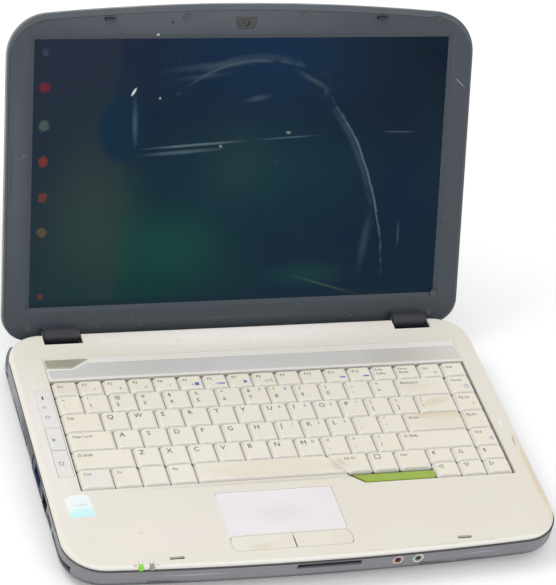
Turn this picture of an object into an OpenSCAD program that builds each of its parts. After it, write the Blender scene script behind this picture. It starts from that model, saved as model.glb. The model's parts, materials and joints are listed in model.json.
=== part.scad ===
// Notebook computer with a wide 14-inch screen, open for use.
// X is to the right, Y to the back, Z up.  The origin is on the table, under the middle of the base.
// All sizes are in millimetres.

/* [Base] */
// Width of the base and the lid
base_w = 344; // [330:1:420]
// Depth of the base
base_d = 247; // [240:1:300]
// Height of the deck above the table, at its front edge
deck_front_z = 22.5; // [21.5:0.5:28]
// Slope of the deck, in degrees
deck_tilt = 1.4; // [0.8:0.1:1.7]
// Wall of the lower case
wall = 2; // [1.6:0.1:2.4]
// Thickness of the deck
deck_t = 2; // [1.6:0.1:2.4]
// Corner radius of the base at the front, in plan
front_r = 28; // [22:1:34]
// Corner radius of the base at the back, in plan
rear_r = 36; // [30:1:42]
// Radius of the curved front edge, in plan
front_bow_r = 2300; // [1500:100:4000]
// Rounding under the sides of the base
under_r = 9; // [6:0.5:9]
// Rounding of the deck's edge
deck_edge_r = 3; // [2.4:0.2:3.2]
// Height of the cream upper case at its sides
parting_drop = 3.5; // [3.4:0.1:4.5]
// Height of the rubber feet
foot_h = 2.5; // [1.5:0.5:3]
// Radius of the rubber feet
foot_r = 8; // [6:0.5:10]

/* [Lid] */
// Angle between the lid and the deck
lid_open = 115; // [95:1:130]
// Distance of the lid's sides inside those of the base
lid_inset = 1.2; // [0:0.1:1.5]
// Thickness of the lid
lid_t = 8.5; // [8.2:0.1:10]
// Gap between the lid's frame and the deck when shut
shut_gap = 0.8; // [0.5:0.1:1.5]
// Distance from the hinge axis to the back edge of the base
hinge_back = 13.8; // [13.5:0.1:16]
// Depth of the hinge axis below the deck
hinge_drop = 3.8; // [3.5:0.1:4.5]
// Radius of the hinge barrels
barrel_r = 6; // [5.6:0.1:6.2]
// Width of a hinge barrel
barrel_w = 24.4; // [22:0.2:26]
// Distance of each hinge from the middle
hinge_x = 130.5; // [118:0.5:134]
// Radius of the hinge pins
pin_r = 2.5; // [2:0.1:2.8]
// Radial clearance of a turning pin
pin_gap = 0.05; // [0.03:0.01:0.1]
// Distance of the lid's lower edge below the hinge axis
lid_below = 4; // [3:0.5:4.5]
// Radius of the curved top edge of the lid
bow_r = 1650; // [1300:50:3000]
// Corner radius at the top of the lid
lid_top_r = 30; // [24:1:36]
// Corner radius at the bottom of the lid
lid_low_r = 18; // [14:1:24]
// Wall of the back cover
cover_t = 1.6; // [1.3:0.1:1.8]

/* [Screen] */
// Width of the picture area
screen_w = 303.4; // [280:0.1:304]
// Height of the picture area
screen_h = 189.6; // [170:0.1:190]
// Height of the picture area above the hinge axis
screen_low = 19.4; // [18:0.1:24]
// Depth of the glass behind the lid's frame
screen_sunk = 1.8; // [1.5:0.1:2.2]

/* [Keyboard] */
// Distance between keys along a row
key_pitch = 19; // [18:0.1:19]
// Distance between rows
row_pitch = 18; // [17:0.1:18]
// Gap between the skirts of two keys
key_gap = 1.4; // [1:0.1:2]
// Height of a key cap
key_h = 3.8; // [3.5:0.1:4]
// Travel of a key
key_travel = 2; // [1.6:0.1:2.1]
// Left edge of the keys
keys_x = -148; // [-150:0.5:-146]
// Front edge of the main rows
keys_y = 76.3; // [74:0.1:80]

/* [Inside] */
// Length of the hard drive
drive_l = 100; // [96:1:102]
// Height of the mother board above the table
board_z = 10.5; // [10:0.5:11]
// Width of the battery
battery_w = 204; // [180:1:206]
// Radius of an audio socket's hole
jack_r = 1.75; // [1.25:0.05:1.8]
// Depth of an audio socket's hole
jack_l = 14; // [12:0.5:15]

/* [Hidden] */
$fn = 64;

// Finishes
cream = "#e8e3d6";
key_cream = "#ebe4d2";
slate = "#52585e";
grey_shell = "#85888f";
steel = "#a9acb0";

// Clearances
fit = 0.3;          // round a cover, door or button in its opening
slim = 0.1;         // between faces that a screw pulls together
eps = 0.01;
hair = 0.06;          // step where a corner crosses a wide curve
far = 400;          // longer than the whole object

// Base, in its own frame: x, y from the front edge, z from the table
half_w = base_w / 2;
floor_z = foot_h + wall;
slab_h = 45;

// Deck, in its own frame: y from the front edge, z up from the deck
deck_inset = 0.5;
deck_front = 1.5;
hinge_y = base_d - hinge_back;
deck_rear = hinge_y - 1.7;
deck_rear_r = 25;
shelf_z = -11;
trough_r = lid_t + shut_gap + hinge_drop + 1.4;

// Lid, in its own frame: x, height above the hinge axis, z towards the viewer
face_z = -(hinge_drop + shut_gap);
back_z = face_z - lid_t;
lid_top = hinge_y;
half_lid = half_w - lid_inset;
rim_z = face_z - 0.4;
rim_side = 1.6;
rim_top = 4.4;
bezel_t = 1.4;
glass_z = face_z - screen_sunk;
bow_h = lid_top - bow_r;

// Keyboard, in the deck's frame
nav_x = 136.8;
nav_w = 18.8;
keys_right = nav_x + nav_w;
row_top = keys_y + 5 * row_pitch;
function_d = 14;
keys_back = row_top + function_d;
half_row = 13.55;
arrows_front = keys_y + row_pitch - 2 * half_row;
opening_side = 1.2;
key_top_z = 0.6;
skirt_z = key_top_z - key_h;
key_roof = 1.2;
plate_top = skirt_z - key_travel - 0.2;
sheet_t = 0.3;
plate_t = 0.5;
stem_r = 1.5;
cup_r = 2.8;
cup_h = 2.6;
number_x = keys_x + 18;
upper_x = keys_x + 27.5;
home_x = keys_x + 32.3;
lower_x = keys_x + 41.8;
// each key is [left, front, width, depth]
function run(x, y, n, w = key_pitch, d = row_pitch) = [for (i = [0:n - 1]) [x + i * w, y, w, d]];
function row_y(i) = keys_y + i * row_pitch;
function_list = run(keys_x, row_top, 17, (keys_right - keys_x) / 17, function_d);
number_end = number_x + 12 * key_pitch;
upper_end = upper_x + 12 * key_pitch;
home_end = home_x + 11 * key_pitch;
lower_end = lower_x + 10 * key_pitch;
number_list = concat([[keys_x, row_y(4), number_x - keys_x, row_pitch]],
    run(number_x, row_y(4), 12), [[number_end, row_y(4), nav_x - number_end, row_pitch]]);
upper_list = concat([[keys_x, row_y(3), upper_x - keys_x, row_pitch]],
    run(upper_x, row_y(3), 12), [[upper_end, row_y(3), nav_x - upper_end, row_pitch]]);
home_list = concat([[keys_x, row_y(2), home_x - keys_x, row_pitch]], run(home_x, row_y(2), 11));
enter_list = [[home_end, row_y(2), nav_x - home_end, row_pitch]];
lower_list = concat([[keys_x, row_y(1), lower_x - keys_x, row_pitch]],
    run(lower_x, row_y(1), 10), [[lower_end, row_y(1), nav_x - lower_end, row_pitch]]);
bottom_x = [keys_x, keys_x + 23.1, keys_x + 42, keys_x + 60.9, keys_x + 80];
right_x = [keys_x + 203.6, keys_x + 223.2, keys_x + 246.9];
small_list = concat([for (i = [0:3]) [bottom_x[i], keys_y, bottom_x[i + 1] - bottom_x[i], row_pitch]],
    [for (i = [0:1]) [right_x[i], keys_y, right_x[i + 1] - right_x[i], row_pitch]]);
slant_low = keys_x + 186.2;
slant_high = keys_x + 174;
space_list = [[bottom_x[4], keys_y, slant_low - bottom_x[4], row_pitch]];
alt_list = [[slant_high, keys_y, right_x[0] - slant_high, row_pitch]];
nav_list = [for (i = [1:4]) [nav_x, row_y(i), nav_w, row_pitch]];
arrow_w = (nav_x - right_x[2]) / 2;
arrow_list = [for (j = [0:1], i = [0:2]) [right_x[2] + i * arrow_w, arrows_front + j * half_row,
    i == 2 ? nav_w : arrow_w, half_row]];
all_keys = concat(function_list, number_list, upper_list, home_list, enter_list, lower_list,
    small_list, space_list, alt_list, nav_list, arrow_list);

// Openings of the deck
cover_front = keys_back + 1.5;
cover_back = cover_front + 23.5;
launch_x = keys_x - 13.4;
launch_front = keys_y + 12.6;
launch_split = launch_front + 25.8;
launch_step = launch_split + 21.7;
launch_back = launch_front + 84.5;
pad_x = -61;
pad_w = 82.6;
pad_y = 25.6;
pad_d = 40;
click_y = 11.4;
click_split = -17.6;
ear_t = 1.2;            // thickness of a hinge bracket's ears
ear_in = barrel_w / 2 + 0.2;
notch_w = 2 * (ear_in + ear_t + 0.4);
notch_front = hinge_y - 13.2;

// Parts in the base
drive_x = -half_w + 17;
drive_y = 20;
drive_w = 70;
drive_h = 9.5;
tray_y = 61;
optical_w = 128;
optical_l = 126;
optical_h = 12.7;
optical_x = half_w - 8 - optical_l;
bay_front = base_d - 55;
bay_wall = 1.6;
bay_h = 20;          // top of the bay's walls above the table
board_front = drive_y + drive_w + 5;
socket_depth = 15;
board_t = 1.4;
board_left = -half_w + socket_depth + 1.2;
fan_x = -half_w + 14;
fan_y = 130;
fan_size = 56;
fan_z = floor_z + fit;
fan_h = 10.5;
jack_x = [50.8, 65.2];
jack_z = -8;
card_x = 2.4;
card_w = 44;
card_t = 2.4;
screws = [[-half_w + 22, board_front + 14], [24, board_front + 10], [24, bay_front - 14],
    [-80, bay_front - 14], [-44, 17], [34, 30], [half_w - 22, 34]];
boss_r = 3.4;
screw_r = 1.3;
head_r = 2.7;
bracket_y = hinge_y - 23;
bracket_z = -14;
feet = concat([for (x = [-1, 1], y = [24, base_d - 42]) [x * (half_w - 30), y]],
    [[0, base_d / 2]]);

// ---- frames and shapes ----

module in_base() translate([0, -base_d / 2, 0]) children();

module in_deck() translate([0, -base_d / 2, deck_front_z]) rotate([deck_tilt, 0, 0]) children();

module in_lid()
    in_deck() translate([0, hinge_y, -hinge_drop]) rotate([180 - lid_open, 0, 0]) children();

// a block between two corners
module block(a, b) translate(a) cube(b - a);

// extrudes a (y, z) outline along x, between two places
module along_x(x0, x1) translate([x0, 0, 0]) rotate([90, 0, 90]) linear_extrude(x1 - x0) children();

module rounded_rect(x0, y0, x1, y1, r) {
    translate([x0 + r, y0]) square([x1 - x0 - 2 * r, y1 - y0]);
    translate([x0, y0 + r]) square([x1 - x0, y1 - y0 - 2 * r]);
    for (x = [x0 + r, x1 - r], y = [y0 + r, y1 - r]) translate([x, y]) circle(r);
}

// outline of half a slab's section, with its lower and upper corners rounded
module rolled_section(half, h, low, top) {
    translate([0, low]) square([half, h - low - top]);
    if (low > 0) {
        square([half - low, low + eps]);
        translate([half - low, low]) intersection() {
            circle(low);
            translate([0, -low]) square(low);
        }
    }
    if (top > 0) {
        translate([0, h - top - eps]) square([half - top, top + eps]);
        translate([half - top, h - top]) intersection() {
            circle(top);
            square(top);
        }
    }
}

// A corner that runs into a wide curve stands a hair inside it, so that the two cross cleanly.
function corner_place(bow, r, x) = round(100 * (bow - sqrt(pow(bow - r, 2) - pow(x, 2)))) / 100 + hair;

// slab with rounded corners in plan and rounded edges; the middle of its curved front is at y = 0
module rolled_slab(w, d, h, r_front, r_back, bow, low = 0, top = 0) {
    corner_x = w / 2 - r_front;
    corner_y = corner_place(bow, r_front, corner_x);
    meet_x = corner_x * bow / (bow - r_front);
    intersection() {
        translate([0, bow, 0]) rotate_extrude($fn = 1440) rolled_section(bow, h, low, top);
        block([-meet_x, -1, -1], [meet_x, d / 2, h + 1]);
    }
    for (s = [0, 1]) mirror([s, 0, 0]) {
        translate([corner_x, corner_y, low > 0 ? hair : 0])
            rotate_extrude() rolled_section(r_front, h, low, top);
        translate([w / 2 - r_back, d - r_back, 0]) rotate_extrude() rolled_section(r_back, h, low, top);
        translate([0, d - r_back, 0]) rotate([90, 0, 0])
            linear_extrude(d - corner_y - r_back) rolled_section(w / 2, h, low, top);
    }
    translate([0, d / 2, 0]) along_x(-w / 2 + r_back, w / 2 - r_back)
        rolled_section(d / 2, h, low, top);
}

// distance that the curved front has fallen back at a place along x
function front_y(x) = front_bow_r - sqrt(pow(front_bow_r, 2) - pow(x, 2));

// block whose four sides slope in by the given amounts towards the top
module frustum(x0, y0, x1, y1, z0, z1, side, front, back) intersection() {
    translate([0, y1, 0]) rotate([90, 0, 0]) linear_extrude(y1 - y0)
        polygon([[x0, z0], [x1, z0], [x1 - side, z1], [x0 + side, z1]]);
    along_x(x0, x1)
        polygon([[y0, z0], [y1, z0], [y1 - back, z1], [y0 + front, z1]]);
}

// ---- lower case ----

module under_parting() in_deck() block([-far, -far, -far], [far, far, -parting_drop]);

module base_outside() in_base() translate([0, 0, foot_h])
    rolled_slab(base_w, base_d, slab_h, front_r, rear_r, front_bow_r, under_r);

module base_inside() in_base() translate([0, wall, floor_z])
    rolled_slab(base_w - 2 * wall, base_d - 2 * wall, slab_h, front_r - wall, rear_r - wall,
        front_bow_r - wall, under_r - wall);

// room behind the deck for the lid to turn in, made larger all round by grow
module lid_room(grow = 0) in_deck() {
    along_x(-far, far) intersection() {
        translate([hinge_y, -hinge_drop]) circle(trough_r + grow, $fn = 128);
        translate([deck_rear - grow, -far]) square([far, far + shelf_z]);
    }
    translate([0, 0, shelf_z - grow]) linear_extrude(slab_h) difference() {
        translate([-far, deck_rear - deck_rear_r]) square(2 * far);
        rounded_rect(-half_w + deck_inset + grow, 0,
            half_w - deck_inset - grow, deck_rear - grow, deck_rear_r - grow);
    }
}

// gaps in both cases for the two hinges
module hinge_notches() in_deck() for (s = [-1, 1])
    block([s * hinge_x - notch_w / 2, notch_front, -hinge_drop - barrel_r - 0.8],
        [s * hinge_x + notch_w / 2, base_d, 10]);

module battery_bay(gap) in_base()
    block([-battery_w / 2 - gap, bay_front - gap, -1], [battery_w / 2 + gap, base_d + 5, slab_h]);

module door_hole(x0, y0, x1, y1) in_base() {
    block([x0, y0, foot_h - 1], [x1, y1, foot_h + 1.2]);
    block([x0 + 3, y0 + 3, foot_h - 1], [x1 - 3, y1 - 3, floor_z + 1]);
}

module drive_hole()
    door_hole(drive_x - 1, drive_y - 1, drive_x + drive_l + 3, drive_y + drive_w + 3);

module memory_hole() door_hole(-64, board_front + 12, 14, board_front + 80);

module screw_bosses() in_base() for (p = screws)
    translate([p[0], p[1], floor_z - 0.5]) cylinder(h = board_z - floor_z + 0.5, r = boss_r);

module screw_holes() {
    in_base() for (p = screws) translate([p[0], p[1], foot_h - 1]) {
        cylinder(h = board_z, r = screw_r + 0.05);
        cylinder(h = 2.2, r = head_r + fit);
    }
    // cooling slots under the fan
    in_base() for (i = [0:6])
        block([fan_x + 12, fan_y + 12 + i * 5, foot_h - 1],
            [fan_x + fan_size - 12, fan_y + 14.4 + i * 5, floor_z + 1]);
}

// sockets along the two sides: place along y, width, height, height of the middle above the table
display_at = [88, 30.8, 12.5, 13.5];
network_at = [71, 14.5, 11, 12.5];
left_usb_at = [55, 13.2, 5.8, 12];
card_slot_at = [17, 34, 5.4, 11];
right_usb_at = [[28, 13.2, 5.8, 12], [44, 13.2, 5.8, 12]];
power_at = [205, 9, 9, 13.5];

module side_hole(side, at, gap = 0) in_base() translate([side * (half_w + 1), at[0], at[3]])
    block([side > 0 ? -wall - 14 : -1, -gap, -at[2] / 2 - gap],
        [side > 0 ? 1 : wall + 14, at[1] + gap, at[2] / 2 + gap]);

module side_openings() {
    side_hole(-1, display_at, fit);
    side_hole(-1, network_at, fit);
    side_hole(-1, left_usb_at, fit);
    side_hole(-1, card_slot_at, 0);
    for (at = right_usb_at) side_hole(1, at, fit);
    side_hole(1, power_at, fit);
    // outlet of the fan
    in_base() for (i = [0:11])
        block([-half_w - 1, fan_y + 6 + i * 4, fan_z + 1.5],
            [-half_w + wall + 3, fan_y + 8.4 + i * 4, fan_z + 9]);
    // security slot
    in_base() block([-half_w - 1, base_d - 44, 12], [-half_w + wall + 3, base_d - 37, 15]);
    // door of the optical drive
    in_base() block([half_w - wall - 9, tray_y, optical_z - fit],
        [half_w + 1, tray_y + optical_w, optical_z + optical_h + fit]);
}

module front_openings() in_deck() {
    for (x = jack_x) translate([x, front_y(x) - 1, jack_z]) rotate([-90, 0, 0])
        cylinder(h = 12, r = 4.1);
    block([card_x - card_w / 2 - fit, -1, jack_z + 2.4 - card_t],
        [card_x + card_w / 2 + fit, 12, jack_z + 3 + 2 * fit]);
}

module bottom_case() color(grey_shell) difference() {
    union() {
        difference() {
            intersection() {
                base_outside();
                under_parting();
            }
            difference() {
                base_inside();
                lid_room(wall);
            }
            lid_room();
            battery_bay(0);
        }
        screw_bosses();
        // walls of the battery bay
        in_base() {
            for (s = [-1, 1])
                block([s * (battery_w + bay_wall) / 2 - bay_wall / 2, bay_front - bay_wall, floor_z - 0.5],
                    [s * (battery_w + bay_wall) / 2 + bay_wall / 2, hinge_y - 5, bay_h]);
            block([-battery_w / 2, bay_front - bay_wall, floor_z - 0.5],
                [battery_w / 2, bay_front, bay_h]);
        }
        // posts under the hinge brackets
        for (s = [-1, 1]) intersection() {
            in_base() translate([s * hinge_x, bracket_y + 6, floor_z - 0.5])
                cylinder(h = slab_h, r = boss_r);
            in_deck() block([-far, 0, -far], [far, far, bracket_z]);
        }
    }
    hinge_notches();
    drive_hole();
    memory_hole();
    screw_holes();
    side_openings();
    front_openings();
}

// ---- upper case ----

module keyboard_outline(grow = 0) polygon([
    [keys_x - opening_side - grow, keys_y - 1 - grow],
    [slant_low - 3, keys_y - 1 - grow],
    [slant_low + 8, arrows_front - 1.2 - grow],
    [keys_right + opening_side + grow, arrows_front - 1.2 - grow],
    [keys_right + opening_side + grow, cover_front + grow],
    [keys_x - opening_side - grow, cover_front + grow]]);

cover_x = [keys_x - opening_side, keys_right + opening_side];
strip_low = cover_front + 3;
strip_mid = strip_low + 7.6;
strip_top = strip_low + 14;
// the silver strip rises in a step to the right of the power button
strip_outline = [[cover_x[0] + 3, strip_low], [cover_x[1] - 1.3, strip_low],
    [cover_x[1] - 2.2, strip_top], [keys_x + 29, strip_top], [keys_x + 19.2, strip_mid],
    [cover_x[0] + 2.4, strip_mid]];
// the power button runs to a point at its right end
button_low = strip_mid + 2;
button_top = strip_top + 4;
button_outline = [[keys_x + 0.3, button_low + 0.6], [keys_x + 17.4, button_low],
    [keys_x + 30.2, button_top], [keys_x, button_top]];

module launch_outline(y0, y1, gap) {
    rounded_rect(launch_x + gap, y0 + gap, keys_x - opening_side - 1 - gap, y1 - gap, 1);
}

module pad_outline(gap) rounded_rect(pad_x + gap, pad_y + gap, pad_x + pad_w - gap,
    pad_y + pad_d - gap, 2.5);

module click_outline(gap) rounded_rect(pad_x + gap, click_y + gap, pad_x + pad_w + 1 - gap,
    pad_y - 0.6 - gap, 4);

light_x = [-124.3, -117.1];
light_w = 3;
hook_x = 99.5;
hook_h = lid_top - 10;
hook_w = 7;
slot_y = hinge_y - hook_h;

module deck_cut(z0, z1) translate([0, 0, z0]) linear_extrude(z1 - z0) children();

module top_case() color(cream) difference() {
    in_deck() translate([0, deck_front, -parting_drop]) difference() {
        rolled_slab(base_w - 2 * deck_inset, deck_rear - deck_front, parting_drop,
            front_r - deck_inset, deck_rear_r, front_bow_r - deck_inset, 0, deck_edge_r);
        translate([0, wall, -1])
            rolled_slab(base_w - 2 * deck_inset - 2 * wall, deck_rear - deck_front - 2 * wall,
                parting_drop - deck_t + 1, front_r - deck_inset - wall, deck_rear_r - wall,
                front_bow_r - deck_inset - wall);
    }
    in_deck() deck_cut(-20, 5) {
        keyboard_outline();
        translate([cover_x[0], cover_front - eps])
            square([cover_x[1] - cover_x[0], cover_back - cover_front]);
        launch_outline(launch_front, launch_split, 0);
        launch_outline(launch_split, launch_step, 0);
        launch_outline(launch_step, launch_back, 0);
        pad_outline(0);
        click_outline(0);
        for (s = [-1, 1]) translate([s * hook_x, slot_y]) square([hook_w + 3, 2.6], center = true);
        for (x = light_x)
            translate([x - light_w / 2, deck_front + front_y(x) - 1]) square([light_w, 5.5]);
    }
    hinge_notches();
}

module centre_cover() color("#efece4") in_deck() difference() {
    translate([cover_x[0] + fit, cover_front + fit, -deck_t])
        cube([cover_x[1] - cover_x[0] - 2 * fit, cover_back - cover_front - 2 * fit,
            deck_t + 0.1]);
    deck_cut(-0.7, 5) offset(delta = 0.15) polygon(strip_outline);
    deck_cut(-20, 5) offset(delta = fit) polygon(button_outline);
}

module silver_strip() color("#bab8b4") in_deck() deck_cut(-0.7, 0) polygon(strip_outline);

module power_button() color("#96948c") in_deck() {
    deck_cut(-deck_t - fit, 0.8) polygon(button_outline);
    // flange that keeps the button in
    deck_cut(-deck_t - fit - 0.7, -deck_t - fit) polygon([button_outline[0] + [-1.2, -1.2],
        button_outline[1] + [1, -1.2], button_outline[2] + [-3, 0.8], button_outline[3] + [-1.2, 0.8]]);
}

// flange under the deck, which stops short of the keyboard's rim
module launch_flange(y0, y1) rounded_rect(launch_x - 0.8, y0 + 0.7, keys_x - opening_side - 4,
    y1 - 0.7, 1);

module launch_key(y0, y1) in_deck() {
    deck_cut(-deck_t - 0.2, -0.05) launch_outline(y0, y1, fit);
    deck_cut(-deck_t - 1.4, -deck_t - 0.2) launch_flange(y0, y1);
}

module indicator_panel() color("#e8e7e6") in_deck() {
    deck_cut(-deck_t, -0.1) launch_outline(launch_step, launch_back, 0.15);
    deck_cut(-deck_t - 1.2, -deck_t) launch_flange(launch_step, launch_back);
}

module mail_button() color("#e8e7e6") launch_key(launch_front, launch_split);

module web_button() color("#e8e7e6") launch_key(launch_split, launch_step);

module touchpad() color("#ebe7e8") in_deck() {
    deck_cut(-deck_t - 0.2, -0.5) pad_outline(0.2);
    deck_cut(-deck_t - 1.6, -deck_t - 0.2)
        rounded_rect(pad_x - 3, pad_y - 0.4, pad_x + pad_w + 3, pad_y + pad_d + 3, 2);
}

module click_button(x0, x1) color("#e9e5da") in_deck() {
    deck_cut(-deck_t - 0.6, -0.1) intersection() {
        click_outline(fit);
        translate([x0, 0]) square([x1 - x0, pad_y]);
    }
    // web that the switch sits under
    deck_cut(-deck_t - 1.6, -deck_t - 0.6)
        translate([x0 + 4, click_y + 3]) square([x1 - x0 - 8, 8]);
}

module left_click_button() click_button(pad_x - 1, click_split - fit / 2);

module right_click_button() click_button(click_split + fit / 2, pad_x + pad_w + 2);

module name_strip() color("#8cb042") in_deck() translate([0, 0, -1.6]) linear_extrude(1.7)
    polygon([[slant_low + 1.6, keys_y - 2.7], [slant_low + 9, arrows_front - 0.4],
        [right_x[2] - 2, arrows_front - 0.4], [right_x[2] - 0.8, arrows_front + 2],
        [right_x[2] - 0.8, keys_y - 2.7]]);

module palm_sticker() color("#dff4f4") in_deck() translate([-152.2, 51.4, 0]) rotate([0, 0, 4])
    linear_extrude(0.15) intersection() {
        translate([-8.4, 0]) square([16.8, 20.5]);
        translate([0.6, 9.5]) circle(11.6);
    }

module status_lights() color("#9ee055") in_deck() for (x = light_x)
    block([x - light_w / 2 + 0.2, deck_front + front_y(x) - 1, -parting_drop],
        [x + light_w / 2 - 0.2, deck_front + front_y(x) + 4.3, 0.05]);

// ---- keyboard ----

module key_cap(k) {
    x0 = k[0] + key_gap / 2;
    x1 = k[0] + k[2] - key_gap / 2;
    y0 = k[1] + key_gap / 2;
    y1 = k[1] + k[3] - key_gap / 2;
    difference() {
        intersection() {
            frustum(x0, y0, x1, y1, skirt_z, key_top_z, 1.2, 1.5, 0.5);
            translate([0, 0, skirt_z]) linear_extrude(key_h) rounded_rect(x0, y0, x1, y1, 1.4);
        }
        block([x0 + 1.6, y0 + 1.6, skirt_z - 1], [x1 - 1.6, y1 - 1.4, key_top_z - key_roof]);
    }
    translate([(x0 + x1) / 2, (y0 + y1) / 2, skirt_z])
        cylinder(h = key_h - 0.5, r = stem_r, $fn = 24);
}

module key_group(list) color(key_cream) in_deck() for (k = list) key_cap(k);

// the space bar and the key to its right meet along a slanting line
module slant_side(x_low, x_high, side) linear_extrude(20, center = true)
    polygon([[x_low, keys_y - 1], [x_high, keys_y + row_pitch + 1],
        [x_high + side * 200, keys_y + row_pitch + 1], [x_low + side * 200, keys_y - 1]]);

module slanted_key(k, side) in_deck() {
    gap = side * key_gap / 2;
    wall_in = side * 1.6;
    intersection() {
        key_cap(k);
        slant_side(slant_low + gap, slant_high + gap, side);
    }
    // wall along the slanting side
    intersection() {
        frustum(k[0] + 0.7, k[1] + 0.7, k[0] + k[2] - 0.7, k[1] + k[3] - 0.7, skirt_z, key_top_z,
            1.2, 1.5, 0.5);
        slant_side(slant_low + gap, slant_high + gap, side);
        slant_side(slant_low + gap + wall_in, slant_high + gap + wall_in, -side);
    }
}

module function_keys() key_group(function_list);
module number_keys() key_group(number_list);
module upper_letter_keys() key_group(upper_list);
module home_letter_keys() key_group(home_list);
module lower_letter_keys() key_group(lower_list);
module navigation_keys() key_group(nav_list);
module arrow_keys() key_group(arrow_list);
module enter_key() key_group(enter_list);
module space_bar() color("#e6dcc6") slanted_key(space_list[0], -1);
module modifier_keys() {
    key_group(small_list);
    color(key_cream) slanted_key(alt_list[0], 1);
}

module keyboard_plate() color("#dcd9d2") in_deck() {
    deck_cut(plate_top - sheet_t - plate_t, plate_top - sheet_t) keyboard_outline(1);
    // folded rim, up against the deck
    deck_cut(plate_top - sheet_t - eps, -deck_t) difference() {
        keyboard_outline(1);
        keyboard_outline(1 - plate_t);
    }
}

module rubber_domes() color("#e6e4de") in_deck() {
    deck_cut(plate_top - sheet_t, plate_top) keyboard_outline(0.4);
    for (k = all_keys) translate([k[0] + k[2] / 2, k[1] + k[3] / 2, plate_top - 0.1])
        difference() {
            cylinder(h = cup_h + 0.1, r1 = cup_r + 0.6, r2 = stem_r + 0.9, $fn = 24);
            translate([0, 0, 0.1]) cylinder(h = cup_h + 1, r = stem_r + 0.3, $fn = 24);
        }
}

// ---- inside the base ----

module motherboard() color("#2e5e43") in_base() difference() {
    union() {
        linear_extrude_at(board_z, board_t) difference() {
            translate([board_left, board_front])
                square([optical_x - 5 - board_left, bay_front - 5 - board_front]);
            translate([fan_x - 12, fan_y - 2]) square([fan_size + 16, fan_size + 40]);
        }
        // processor socket, chips and memory sockets
        block([-58, fan_y + 8, board_z + board_t], [-22, fan_y + 44, board_z + board_t + 2.6]);
        block([-12, fan_y + 20, board_z + board_t], [16, fan_y + 48, board_z + board_t + 1.8]);
        block([-56, board_front + 14, board_z - 3.4], [12, board_front + 20, board_z]);
    }
    for (p = screws) translate([p[0], p[1], board_z - 1]) cylinder(h = board_t + 2, r = 1.6);
}

module linear_extrude_at(z, h) translate([0, 0, z]) linear_extrude(h) children();

module memory_modules() color("#3c7a52") in_base() for (i = [0, 1])
    block([-54, board_front + 20.2 + i * 29, board_z - 3.1 + i * 0.9],
        [10, board_front + 49 + i * 29, board_z - 1.9 + i * 0.9]);

module wireless_card() color("#356a4b") in_base()
    block([-96, board_front + 6, board_z - 3.4], [-68, board_front + 32, board_z - 0.1]);

module heatsink() color("#b8865a") in_base() {
    // plate on the processor and the flat heat pipe
    block([-58, fan_y + 8, board_z + board_t + 2.7], [-22, fan_y + 44, board_z + board_t + 4.2]);
    block([-half_w + 5, fan_y - 9, board_z + board_t + 2.7],
        [-46, fan_y - 3, board_z + board_t + 4.2]);
    block([-52, fan_y - 3, board_z + board_t + 2.7], [-46, fan_y + 9, board_z + board_t + 4.2]);
    block([-half_w + 5, fan_y - 9, board_z + board_t + 2.7],
        [-half_w + 12, fan_y + fan_size, board_z + board_t + 4.2]);
    // fins behind the outlet
    for (i = [0:18]) block([-half_w + 5, fan_y + 0.5 + i * 3, fan_z + 1.5],
        [-half_w + 12, fan_y + 1.3 + i * 3, board_z + board_t + 2.7]);
}

fan_c = [fan_x + fan_size / 2, fan_y + fan_size / 2];
impeller_r = 23;
fan_pin_r = 1.5;
module fan_housing() color("#2d2f32") in_base() {
    difference() {
        block([fan_x - 1.7, fan_y, fan_z], [fan_x + fan_size, fan_y + fan_size, fan_z + fan_h]);
        translate([fan_c[0], fan_c[1], fan_z + 1]) cylinder(h = fan_h - 2, r = impeller_r + 2);
        translate([fan_c[0], fan_c[1], fan_z - 1]) cylinder(h = fan_h + 2, r = 16);
        block([fan_x - 2, fan_y + 4, fan_z + 1], [fan_c[0], fan_y + fan_size - 4, fan_z + fan_h - 1]);
    }
    // spider and pin under the rotor
    for (a = [30, 150, 270]) translate([fan_c[0], fan_c[1], fan_z]) rotate([0, 0, a])
        translate([0, -2, 0]) cube([17, 4, 1]);
    translate([fan_c[0], fan_c[1], fan_z]) cylinder(h = 1.2, r = 6);
    translate([fan_c[0], fan_c[1], fan_z]) cylinder(h = fan_h - 1.5, r = fan_pin_r);
}

module fan_impeller() color("#1f2124") in_base() translate([fan_c[0], fan_c[1], fan_z + 1.6])
    difference() {
        union() {
            cylinder(h = fan_h - 3.4, r = 11);
            cylinder(h = 0.8, r = impeller_r - 2);
            for (i = [0:16]) rotate([0, 0, i * 360 / 17]) translate([10, -0.4, 0])
                rotate([0, 0, 18]) cube([impeller_r - 11, 0.8, fan_h - 3.8]);
        }
        translate([0, 0, -1]) cylinder(h = fan_h, r = fan_pin_r + pin_gap);
    }

module hard_drive() color(steel) in_base() translate([drive_x, drive_y, floor_z + slim]) {
    cube([drive_l, drive_w, drive_h]);
    // disc cover and plug
    translate([40, drive_w / 2, drive_h]) cylinder(h = 0.5, r = 31);
    block([drive_l, 8, 2], [drive_l + 4, 52, 7]);
}

optical_z = floor_z + 0.1;
tray_h = 7;
tray_z = optical_z + 2.4;
module optical_drive() color("#b3b5b8") in_base() difference() {
    block([optical_x, tray_y + 0.3, optical_z],
        [optical_x + optical_l, tray_y + optical_w - 0.3, optical_z + optical_h]);
    block([optical_x + 2.4, tray_y + 1.3, optical_z + 1],
        [optical_x + optical_l + 1, tray_y + optical_w - 1.3, optical_z + optical_h - 1]);
}

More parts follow.
